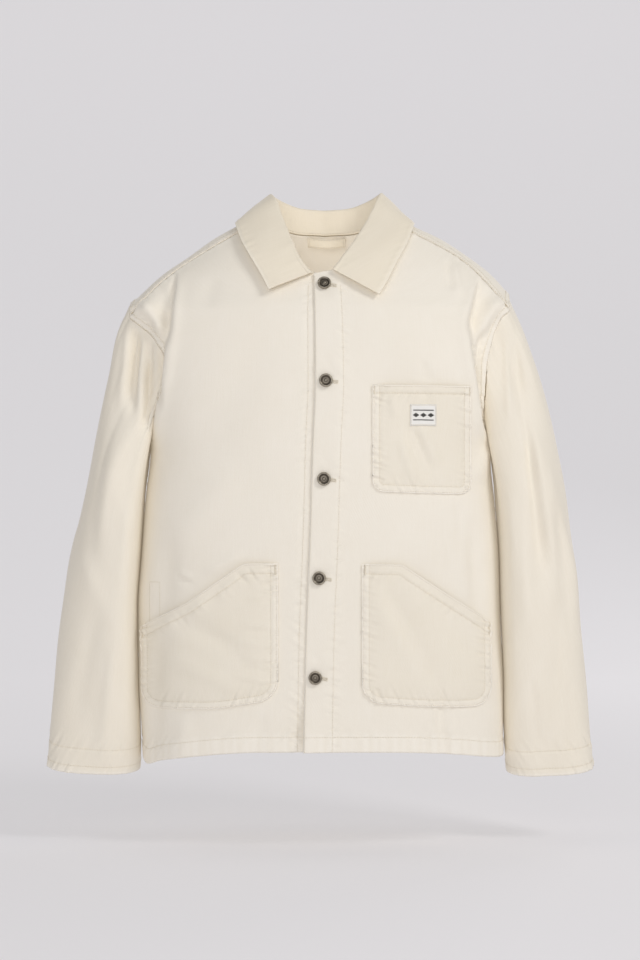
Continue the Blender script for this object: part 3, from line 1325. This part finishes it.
def collarHalf(side, seam, steps):
    table = collar[side]
    sign = 1 if side == "right" else -1
    seam = seam * (sign, 1, 1)
    run = np.concatenate(([0], np.cumsum(np.linalg.norm(np.diff(seam, axis=0), axis=1))))
    share = run / run[-1]
    roll = np.stack([follow(table, "share", name, share) for name in ("rollX", "rollY", "rollZ")], -1)
    edge = np.stack([follow(table, "share", name, share) for name in ("edgeX", "edgeY", "edgeZ")], -1)
    downIn = (seam - roll) / np.linalg.norm(seam - roll, axis=-1, keepdims=True)
    downOut = (edge - roll) / np.linalg.norm(edge - roll, axis=-1, keepdims=True)
    crest = -(downIn + downOut)
    crest = crest / np.linalg.norm(crest, axis=-1, keepdims=True)
    out = downOut - np.sum(downOut * crest, -1, keepdims=True) * crest
    out = out / np.linalg.norm(out, axis=-1, keepdims=True)
    centre = roll - crest * collar["roll"]
    seam = seam - downIn * collar["lift"]
    stand, turn, fall = steps
    lines = []
    inside = centre - out * collar["roll"]
    for part in np.linspace(0, 1, stand + 1)[:-1]:
        lines.append(seam + (inside - seam) * part + out * 0.0015 * math.sin(math.pi * part))
    for angle in np.linspace(-math.pi / 2, math.pi / 2, turn + 1):
        lines.append(centre + collar["roll"] * (math.cos(angle) * crest + math.sin(angle) * out))
    outside = lines[-1]
    for part in denser(fall, 0.35)[1:]:
        bow = math.sin(math.pi * part) * collar["bow"]
        lines.append(outside + (edge - outside) * part + out * bow)
    return np.array(lines) * (sign, 1, 1)


def neckSeam(side, backTop, count):
    middle = backTop.shape[0] // 2
    neckColumns = grids["back"][0]
    sign = 1 if side == "right" else -1
    behind = backTop[middle : middle + sign * (neckColumns + 1) : sign]
    shares = np.linspace(1, collar["endShare"][side], count)[1:]
    curve = curveOn(fronts["neck"][side], side, shares)
    ahead = bodyPlace(side, curve[:, 0], curve[:, 1])
    line = np.concatenate((behind, ahead))
    return resample(line, 1 - (1 - np.linspace(0, 1, 111)) ** 1.1)


def makeCollar():
    steps = (12, 7, 26)
    halves = {
        side: collarHalf(side, neckSeam(side, backPointsMade[-1], 60), steps) for side in ("right", "left")
    }
    points = np.concatenate((halves["left"][:, :0:-1], halves["right"]), axis=1)
    for _ in range(6):  # soften the joins between the named sections
        points[:, 1:-1] = (points[:, :-2] + 2 * points[:, 1:-1] + points[:, 2:]) / 4
    normals = normalsOf(points, -1)
    up, across = runs(points)
    fromEdge = up[-1:] - up
    fromEnd = np.minimum(across, across[:, -1:] - across)
    away = np.minimum(fromEdge, np.where(up > 0.036, fromEnd, 1.0))
    fallShare = smooth((up - 0.040) / 0.02)
    rise = groove(away, 0.0055, 0.0014, 0.0004) + puckers(across, away, 0.006, 0.008, 0.00022, 3.1)
    rise = rise * fallShare
    soft = 0.0008 * np.sin(across / 0.027 + 0.8) * np.sin(up / 0.022 + 1.1)
    rise = rise + soft * fallShare * smooth(fromEdge / 0.02)
    # the stand creases a little where it bends hardest
    rise = rise + 0.0005 * wander(across, 5.0, 1.6) * np.exp(-(((up - 0.020) / 0.012) ** 2)) * 0.5
    points = points + normals * rise[..., None]
    normals = normalsOf(points, -1)
    tone = 0.6 * np.exp(-((fromEdge / 0.003) ** 2))
    piece = clothPiece(
        "collar", points, collar["wall"], collarTwill, (across, up), -1, tone=np.clip(tone, 0, 1)
    )
    bevel = piece.modifiers.new("turned edge", "BEVEL")
    bevel.width = 0.0005
    bevel.segments = 2
    bevel.limit_method = "ANGLE"
    bevel.angle_limit = math.radians(50)
    wear(piece, "collar")
    skin = collar["wall"] / 2
    sewBeside("stitches_collar", points, normals, fromEdge, 0.0055, "top", surface=skin)
    rowsInFall = int(np.argmax(up[:, 0] > 0.044))
    sewBeside("stitches_collar", points, normals, across, 0.0055, "inner", rowsInFall, -8, surface=skin)
    sewBeside(
        "stitches_collar",
        points,
        normals,
        across[:, -1:] - across,
        0.0055,
        "outer",
        rowsInFall,
        -8,
        surface=skin,
    )
    sewBeside(
        "stitches_collar", points, normals, up, 0.0022, "bottom", 6, -6, surface=-skin - 2 * thread["lift"]
    )
    return piece


makeCollar()
print("collar made")


# pockets


surfaces = {}


def onFace(piece, x, z, lift):  # a place on a finished piece as met from the front
    if piece not in surfaces:
        bpy.context.view_layer.update()
        surfaces[piece] = BVHTree.FromObject(pieces[piece], bpy.context.evaluated_depsgraph_get())
    place, away, _, _ = surfaces[piece].ray_cast(Vector((x, -1.0, z)), Vector((0, 1, 0)))
    away = np.array(away) * (-1 if away.y > 0 else 1)
    return np.array(place) + away * lift, away


def pocketSurface(side, x, z, lift):  # the front's finished face, with a lift off it
    sign, piece = (1, "front_left") if side == "right" else (-1, "front_right")
    met = [onFace(piece, sign * a, b, 0.0)[0] for a, b in zip(x.ravel(), z.ravel())]
    base = np.array(met).reshape(*x.shape, 3)
    for _ in range(2):
        base[1:-1, 1:-1] = (base[:-2, 1:-1] + base[2:, 1:-1] + base[1:-1, :-2] + base[1:-1, 2:]) / 4
    angle = angleAt(side, x, z, -1)
    away = bodyPlace(side, angle, z, 0.01) - bodyPlace(side, angle, z, 0.0)
    return base + away * (lift / 0.01)[..., None]


def makePocket(name):
    spec = pockets[name]
    side, top, bottom, corner = spec["side"], spec["top"], spec["bottom"], spec["corner"]
    x0, x1 = top["x"][0], top["x"][-1]
    count = grids["pocket"]
    bend = corner * (1 - np.cos(np.radians(np.linspace(0, 90, 15))))
    x = np.concatenate(
        (x0 + bend, np.linspace(x0 + corner, x1 - corner, count - 28)[1:-1], (x1 - bend)[::-1])
    )
    inset = np.minimum(x - x0, x1 - x)
    arc = corner - np.sqrt(np.maximum(corner**2 - (corner - np.minimum(inset, corner)) ** 2, 0))
    low = follow(bottom, "x", "z", x) + arc
    high = np.interp(x, top["x"], top["z"])
    for _ in range(3):
        high[1:-1] = (high[:-2] + 2 * high[1:-1] + high[2:]) / 4
    part = denser(count, 0.35)[:, None]
    z = low + (high - low) * part
    xx = np.broadcast_to(x, z.shape)
    flatLow = follow(bottom, "x", "z", x)[None]
    down = z - flatLow
    insets = np.broadcast_to(inset, z.shape)
    rounded = corner - np.hypot(corner - insets, corner - down)
    away = np.where((insets < corner) & (down < corner), rounded, np.minimum(insets, down))
    slope = np.gradient(high, x)
    fromMouth = (high - z) / np.sqrt(1 + slope[None] ** 2)
    # the bag stands off the front between its stitched edges and opens a little at the mouth
    lift = (
        0.0012
        + 0.0019 * smooth(away / 0.030)
        + 0.0022 * smooth((0.05 - fromMouth) / 0.05) * smooth(away / 0.025)
    )
    rise = puckers(z + 0.3 * xx, away, 0.005, 0.012, 0.00085, 3.0 + 2.7 * len(name), 0.0, 0.7)
    rise = rise * np.where(insets < down, 1.0, 0.0) + np.where(
        insets >= down, puckers(xx, away, 0.006, 0.014, 0.00075, 5.0 + len(name), 0.5, 0.7), 0.0
    )
    rise = (
        rise
        + ply(away, 0.0100, 0.0005)
        + groove(away, 0.0090, 0.0015, 0.0012)
        + groove(away, 0.0018, 0.0012, 0.0006)
    )
    band = spec["band"]
    rise = rise + ply(fromMouth, band, 0.0007) + groove(fromMouth, band - 0.0008, 0.0015, 0.0012)
    rise = rise + puckers(xx, fromMouth, band + 0.001, 0.0085, 0.00050, 9.0 + len(name), 0.6, 0.8)
    if name == "handRight":
        rise = (
            rise
            + 0.0010
            * np.exp(-(((fromMouth - band) / 0.009) ** 2))
            * np.sin(xx / 0.0062 + 0.9)
            * smooth((xx - 0.10) / 0.02)
        )
    rise = rise + creaseRise(pocketCreases, side, xx, z, 1.0, 0.0) * smooth(away / 0.006)
    rise = np.maximum(rise, 0.0010 - lift)
    points = pocketSurface(side, xx, z, lift)
    turn = 1 if side == "right" else -1
    normals = normalsOf(points, turn)
    points = points + normals * rise[..., None]
    normals = normalsOf(points, turn)
    up, across = runs(points)
    tone = (
        0.7 * np.exp(-((np.minimum(away, fromMouth) / 0.0025) ** 2))
        + 0.25 * smooth((0.011 - away) / 0.003)
    )
    piece = clothPiece(
        "pocket_" + name,
        points,
        sizes["pocketWall"],
        pocketTwill,
        (across, up),
        turn,
        tone=np.clip(tone, 0, 1),
    )
    wear(piece, spec["replaces"])
    skin = sizes["pocketWall"] / 2
    partName = "stitches_pocket_" + name
    for gap in (0.0018, 0.0090):
        line = []
        ups = []
        xs = np.linspace(x0 + gap, x1 - gap, 400)
        edge = np.minimum(xs - x0, x1 - xs)
        inner = corner - gap
        bow = inner - np.sqrt(np.maximum(inner**2 - np.maximum(corner - edge, 0) ** 2, 0))
        lows = follow(bottom, "x", "z", xs) + gap + bow
        highs = np.interp(xs, x, high)
        left = [(xs[0], v) for v in np.linspace(highs[0] - 0.001, lows[0], 80)]
        right = [(xs[-1], v) for v in np.linspace(lows[-1], highs[-1] - 0.001, 80)]
        for px, pz in left + list(zip(xs[1:-1], lows[1:-1])) + right:
            column = np.interp(px, x, np.arange(len(x)))
            c0 = min(int(column), len(x) - 2)
            mix = column - c0
            zs = z[:, c0] * (1 - mix) + z[:, c0 + 1] * mix
            spot = points[:, c0] * (1 - mix) + points[:, c0 + 1] * mix
            upHere = normals[:, c0] * (1 - mix) + normals[:, c0 + 1] * mix
            line.append([np.interp(pz, zs, spot[:, k]) for k in range(3)])
            ups.append([np.interp(pz, zs, upHere[:, k]) for k in range(3)])
        line, ups = np.array(line), np.array(ups)
        sew(partName, line + ups * (skin + thread["lift"]), ups)
    first = 3
    flip = fromMouth[::-1]
    turned, turnedUp = points[::-1].swapaxes(0, 1), normals[::-1].swapaxes(0, 1)
    for gap in (band - 0.0008, 0.0018):
        line, ups = rowLine(turned, turnedUp, flip.T, gap, first, len(x) - first)
        sew(partName, line + ups * (skin + thread["lift"]), ups)
    # bar tacks at the ends of the mouth
    for column in (5, len(x) - 6):
        at = np.linspace(0.001, band + 0.001, 12)
        tack, tackUp = (
            np.array([[np.interp(g, flip[:, column], values[::-1, column, k]) for k in range(3)] for g in at])
            for values in (points, normals)
        )
        sew(
            partName,
            tack + tackUp * (skin + thread["lift"]),
            tackUp,
            pitch=0.0009,
            length=0.0011,
            width=0.0019,
        )
    return piece, (x, z, points, normals)


pocketPieces = {name: makePocket(name) for name in pockets}
print("pockets made")


# label, its plain motif, and the hanger loop

label = {
    "x": (0.1075, 0.1405),
    "z": (-0.2635, -0.2365),
    "wall": 0.0008,
    "lift": 0.0013,
    "diamond": (0.0042, 0.0028),
    "gap": 0.0094,
    "bar": 0.0006,
}


def onPocket(name, x, z, lift):  # a place on a pocket's finished face
    xs, zs, points, normals = pocketPieces[name][1]
    column = np.interp(x, xs, np.arange(len(xs)))
    c0 = min(int(column), len(xs) - 2)
    mix = column - c0
    levels = zs[:, c0] * (1 - mix) + zs[:, c0 + 1] * mix
    spot = points[:, c0] * (1 - mix) + points[:, c0 + 1] * mix
    up = normals[:, c0] * (1 - mix) + normals[:, c0 + 1] * mix
    place = np.array([np.interp(z, levels, spot[:, k]) for k in range(3)])
    away = np.array([np.interp(z, levels, up[:, k]) for k in range(3)])
    return place + away / np.linalg.norm(away) * lift, away / np.linalg.norm(away)


def makeLabel():
    xs = np.linspace(*label["x"], 31)
    zs = np.linspace(*label["z"], 25)
    points = np.array([[onPocket("chest", x, z, label["lift"])[0] for x in xs] for z in zs])
    up, across = runs(points)
    for _ in range(3):
        points[1:-1, 1:-1] = (points[:-2, 1:-1] + points[2:, 1:-1] + points[1:-1, :-2] + points[1:-1, 2:]) / 4
    piece = clothPiece("label", points, label["wall"], labelCloth, (across, up), 1)
    wear(piece, "label")
    corners = [(1, 1), (29, 1), (29, 23), (1, 23), (1, 1)]
    normals = normalsOf(points, 1)
    for (c0, r0), (c1, r1) in zip(corners, corners[1:]):
        steps = np.linspace(0, 1, 20)
        cs = np.rint(c0 + (c1 - c0) * steps).astype(int)
        rs = np.rint(r0 + (r1 - r0) * steps).astype(int)
        line, ups = points[rs, cs], normals[rs, cs]
        sew(
            "stitches_label",
            line + ups * (label["wall"] / 2 + thread["lift"]),
            ups,
            pitch=0.0022,
            length=0.0016,
        )
    return piece


def makeMotif():  # three plain diamonds between two bars
    bm = bmesh.new()
    centreX = sum(label["x"]) / 2
    centreZ = sum(label["z"]) / 2
    wide, tall = label["diamond"]
    for k in (-1, 0, 1):
        made = bmesh.ops.create_circle(bm, cap_ends=True, segments=4, radius=1.0)["verts"]
        bmesh.ops.scale(bm, verts=made, vec=(wide, tall, 1))
        bmesh.ops.translate(bm, verts=made, vec=(centreX + k * label["gap"], centreZ, 0))
    for level in (-0.0062, 0.0062):
        made = bmesh.ops.create_grid(bm, x_segments=12, y_segments=1, size=1.0)["verts"]
        bmesh.ops.scale(bm, verts=made, vec=(0.0130, label["bar"], 1))
        bmesh.ops.translate(bm, verts=made, vec=(centreX, centreZ + level, 0))
    faces = [f for f in bm.faces if len(f.verts) == 4 and f.calc_area() > 1e-5]
    bmesh.ops.inset_individual(bm, faces=faces, thickness=0.0011, depth=0.0)
    bmesh.ops.subdivide_edges(bm, edges=bm.edges, cuts=1, use_grid_fill=True)
    for vert in bm.verts:
        vert.co = onPocket("chest", vert.co.x, vert.co.y, label["lift"] + label["wall"] / 2 + 0.00025)[0]
    bmesh.ops.recalc_face_normals(bm, faces=bm.faces)
    mesh = bpy.data.meshes.new("label_motif")
    bm.to_mesh(mesh)
    bm.free()
    mesh.materials.append(labelInk)
    piece = bpy.data.objects.new("label_motif", mesh)
    bpy.context.scene.collection.objects.link(piece)
    solid = piece.modifiers.new("yarn", "SOLIDIFY")
    solid.thickness = 0.0002
    solid.offset = 0.0
    return wear(piece, None)


hanger = {
    "x": (-0.0227, 0.0269),
    "y": 0.0530,
    "top": -0.0085,
    "height": 0.012,
    "sag": 0.0030,
    "bow": 0.0050,
    "wall": 0.0012,
}


def makeHanger():
    share = denser(60, 0.3)
    part = np.linspace(0, 1, 9)[:, None]
    sag = np.sin(math.pi * share)
    x = hanger["x"][0] + (hanger["x"][1] - hanger["x"][0]) * share
    tuck = np.exp(-((share / 0.05) ** 2)) + np.exp(-(((1 - share) / 0.05) ** 2))
    z = hanger["top"] - hanger["height"] * (1 - part) - hanger["sag"] * sag
    z = z + 0.0018 * tuck * (part - 0.5)
    y = hanger["y"] - hanger["bow"] * sag
    y = y - 0.0012 * np.sin(math.pi * part)
    points = np.stack(np.broadcast_arrays(x, y, z), -1)
    up, across = runs(points)
    piece = clothPiece("hanger_loop", points, hanger["wall"], collarTwill, (across, up), 1)
    wear(piece, "hanger_loop")
    normals = normalsOf(points, 1)
    for column in (4, 56):
        line, ups = points[:, column], normals[:, column]
        sew(
            "stitches_hanger",
            line + ups * (hanger["wall"] / 2 + thread["lift"]),
            ups,
            pitch=0.0018,
            length=0.0015,
        )
    for row in (1, 7):
        line, ups = points[row], normals[row]
        sew("stitches_hanger", line + ups * (hanger["wall"] / 2 + thread["lift"]), ups)
    return piece


makeLabel()
makeMotif()
makeHanger()
print("label and hanger made")


# buttons and buttonholes


def frontPlace(x, z, lift):
    return onFace("front_left", x, z, lift)[0]


def makeButton(number, x, z):
    bm = bmesh.new()
    verts = [bm.verts.new((radius, 0, height)) for radius, height in buttons["profile"]]
    edges = [bm.edges.new(both) for both in zip(verts, verts[1:])]
    bmesh.ops.spin(
        bm,
        geom=verts + edges,
        cent=(0, 0, 0),
        axis=(0, 0, 1),
        angle=2 * math.pi,
        steps=buttons["steps"],
        use_merge=True,
    )
    bmesh.ops.remove_doubles(bm, verts=bm.verts, dist=0.00002)
    bmesh.ops.recalc_face_normals(bm, faces=bm.faces)
    seat = frontPlace(x, z, buttons["seat"])
    away = frontPlace(x, z, buttons["seat"] + 0.01) - seat
    tilt = math.atan2(math.hypot(away[0], away[1]), away[2])
    heading = math.atan2(away[0], -away[1])
    turn = (
        Matrix.Rotation(heading, 4, "Z")
        @ Matrix.Rotation(tilt, 4, "X")
        @ Matrix.Rotation(number * 0.7, 4, "Z")
    )
    bmesh.ops.transform(bm, matrix=Matrix.Translation(seat) @ turn, verts=bm.verts)
    mesh = bpy.data.meshes.new(f"button_{number}_metal")
    bm.to_mesh(mesh)
    bm.free()
    mesh.shade_smooth()
    mesh.materials.append(metal)
    piece = bpy.data.objects.new(f"button_{number}_metal", mesh)
    bpy.context.scene.collection.objects.link(piece)
    return wear(piece, f"button_{number}")


buttonhole = {"reach": 0.0150, "start": -0.0060, "half": 0.0013, "slope": -0.14}


def frontRow(places):  # a row of places on the front's surface, and the way out from it
    line = np.array([frontPlace(x, z, 0.0) for x, z in places])
    up = np.array([frontPlace(x, z, 0.01) for x, z in places]) - line
    return line, up / np.linalg.norm(up, axis=1, keepdims=True)


def makeButtonhole(x, z):  # two close rows of bar stitches round a slit, with a tack at the far end
    along = np.linspace(buttonhole["start"], buttonhole["reach"], 30)
    for offset in (-buttonhole["half"], buttonhole["half"]):
        line, up = frontRow([(x + a, z + buttonhole["slope"] * a + offset) for a in along])
        sew(
            "stitches_buttonholes",
            line + up * thread["lift"],
            up,
            pitch=0.00075,
            length=0.00062,
            width=0.0019,
        )
    ends = np.linspace(-0.0022, 0.0022, 9)
    tip = buttonhole["reach"]
    line, up = frontRow([(x + tip, z + buttonhole["slope"] * tip + e) for e in ends])
    sew("stitches_buttonholes", line + up * thread["lift"], up, pitch=0.0007, length=0.0008, width=0.0016)


strip = {"x": (-0.2275, -0.2135), "z": (-0.4650, -0.5225), "foot": (-0.2105, -0.2270)}


def makeStrip():  # a reinforcement sewn to the front above the pocket's outer end
    (x0, x1), (z0, z1) = strip["x"], strip["z"]
    corners = [(x0, z1), (x0, z0), (x1, z0), (x1, z1)]
    rounds = [
        corners, [(strip["foot"][0], z1), (strip["foot"][0], z1 + 0.004), (strip["foot"][1], z1 + 0.004)]
    ]
    for path in rounds:
        for (ax, az), (bx, bz) in zip(path, path[1:]):
            steps = np.linspace(0, 1, 30)
            met = [
                onFace("front_right", ax + (bx - ax) * t, az + (bz - az) * t, thread["lift"]) for t in steps
            ]
            line = np.array([m[0] for m in met])
            sew("stitches_strip", line, np.array([m[1] for m in met]), pitch=0.0026, length=0.0019)


makeStrip()
for number, (x, z) in enumerate(zip(buttons["places"]["x"], buttons["places"]["z"]), 1):
    makeButton(number, x, z)
    makeButtonhole(x, z)
print("buttons made")


# thread


def makeThread(part, runsOfPart):
    bm = bmesh.new()
    bmesh.ops.create_cube(bm, size=1.0)
    ends = [f for f in bm.faces if abs(f.normal.x) > 0.9]
    bmesh.ops.inset_individual(bm, faces=ends, thickness=0.28, depth=0.0)
    for vert in bm.verts:
        inner = abs(vert.co.y) < 0.4
        vert.co.x *= 1.0 if inner else 0.62
        vert.co.z = vert.co.z * 0.5 + (0.0 if not inner else -0.25)
    bmesh.ops.triangulate(bm, faces=bm.faces)
    one = np.array([v.co for v in bm.verts])
    faces = np.array([[v.index for v in f.verts] for f in bm.faces])
    bm.free()
    centre, tangent, up, size = (np.concatenate(column) for column in zip(*runsOfPart))
    side = np.cross(up, tangent)
    count = len(centre)
    points = (
        centre[:, None]
        + one[None, :, :1] * size[:, None, :1] * tangent[:, None]
        + one[None, :, 1:2] * size[:, None, 1:] * side[:, None]
        + one[None, :, 2:] * thread["height"] * 2 * up[:, None]
    )
    faces = (faces[None] + np.arange(count)[:, None, None] * len(one)).reshape(-1, 3)
    mesh = bpy.data.meshes.new(part)
    mesh.from_pydata(points.reshape(-1, 3).tolist(), [], faces.tolist())
    mesh.shade_smooth()
    mesh.materials.append(threadCotton)
    piece = bpy.data.objects.new(part, mesh)
    bpy.context.scene.collection.objects.link(piece)
    return wear(piece, None)


threadPieces = {part: makeThread(part, made) for part, made in threadRuns.items()}
print("thread made:", sum(len(p.data.polygons) for p in threadPieces.values()), "faces")


# what each sheet was cut to


# room, light and camera

room = {"floor": -0.808, "width": 14.0, "near": -5.0, "bend": 2.6, "radius": 1.9, "height": 6.0}


def makeRoom():
    # Matte paper sweep: no gloss, the faintest mottling.
    paper, tree, shader = startMaterial("pale paper backdrop", 0.95, **{"Specular IOR Level": 0.1})
    place = addNode(tree, "ShaderNodeTexCoord")
    apart = addNode(tree, "ShaderNodeSeparateXYZ", [("Vector", place.outputs["Object"])])
    far = addNode(
        tree, "ShaderNodeMapRange", [("Value", apart.outputs["Y"])], **{"From Min": 0.3, "From Max": 3.2}
    )
    tone = addNode(tree, "ShaderNodeMix", [("Factor", far.outputs["Result"])], data_type="RGBA")
    tone.inputs["A"].default_value = linear("#ABA9AB")
    tone.inputs["B"].default_value = linear("#BDBBBD")
    tree.links.new(tone.outputs["Result"], shader.inputs["Base Color"])
    # lit from behind as well, so that the shadow under the jacket stays faint
    shader.inputs["Emission Color"].default_value = linear("#D7D5D6")
    shader.inputs["Emission Strength"].default_value = 0.60
    bm = bmesh.new()
    start = bm.verts.new((-room["width"] / 2, room["near"], room["floor"]))
    line = [start, bm.verts.new((-room["width"] / 2, room["bend"], room["floor"]))]
    for step in range(1, 25):
        turn = math.radians(90 * step / 24)
        y = room["bend"] + room["radius"] * math.sin(turn)
        z = room["floor"] + room["radius"] * (1 - math.cos(turn))
        line.append(bm.verts.new((-room["width"] / 2, y, z)))
    line.append(bm.verts.new((-room["width"] / 2, room["bend"] + room["radius"], room["height"])))
    edges = [bm.edges.new(both) for both in zip(line, line[1:])]
    made = bmesh.ops.extrude_edge_only(bm, edges=edges)["geom"]
    verts = [g for g in made if isinstance(g, bmesh.types.BMVert)]
    bmesh.ops.translate(bm, verts=verts, vec=(room["width"], 0, 0))
    bmesh.ops.recalc_face_normals(bm, faces=bm.faces)
    mesh = bpy.data.meshes.new("floor")
    bm.to_mesh(mesh)
    bm.free()
    mesh.shade_smooth()
    mesh.materials.append(paper)
    floor = bpy.data.objects.new("floor", mesh)
    bpy.context.scene.collection.objects.link(floor)


def softbox(name, size, place, aim, watts, colour="#FFFFFF", spread=180):
    data = bpy.data.lights.new(name, "AREA")
    data.shape = "RECTANGLE"
    data.size, data.size_y = size
    data.energy = watts
    data.spread = math.radians(spread)
    data.color = linear(colour)[:3]
    lamp = bpy.data.objects.new(name, data)
    lamp.location = place
    lamp.visible_camera = False
    lamp.rotation_euler = (Vector(aim) - Vector(place)).to_track_quat("-Z", "Y").to_euler()
    bpy.context.scene.collection.objects.link(lamp)


makeRoom()
softbox("key", (1.1, 1.1), (2.1, -2.0, 1.9), (0, 0, -0.35), 40, "#FEFDFC")
softbox("front", (1.8, 1.8), (-0.5, -3.7, 0.2), (0, 0, -0.3), 38, "#FCFCFF")
softbox("inside the neck", (0.14, 0.06), (0.0, -0.045, -0.16), (0, 0.07, -0.01), 0.085, "#FDFCFF")
softbox("behind", (1.4, 1.4), (1.5, 2.7, 1.1), (0, 0, -0.35), 14)
world = bpy.data.worlds.new("studio")
bpy.context.scene.world = world
world.use_nodes = True
world.node_tree.nodes["Background"].inputs["Color"].default_value = linear("#F4F4F6")
world.node_tree.nodes["Background"].inputs["Strength"].default_value = 0.38

view = {"place": (-0.0066, -3.2, -0.333), "lens": 90.9}
lens = bpy.data.cameras.new("camera")
lens.lens = view["lens"]
lens.sensor_width = 36.0
lens.sensor_fit = "AUTO"
camera = bpy.data.objects.new("camera", lens)
camera.location = view["place"]
camera.rotation_euler = (math.radians(90), 0, 0)
bpy.context.scene.collection.objects.link(camera)
bpy.context.scene.camera = camera
bpy.context.scene.view_settings.view_transform = "Standard"

print("size written")
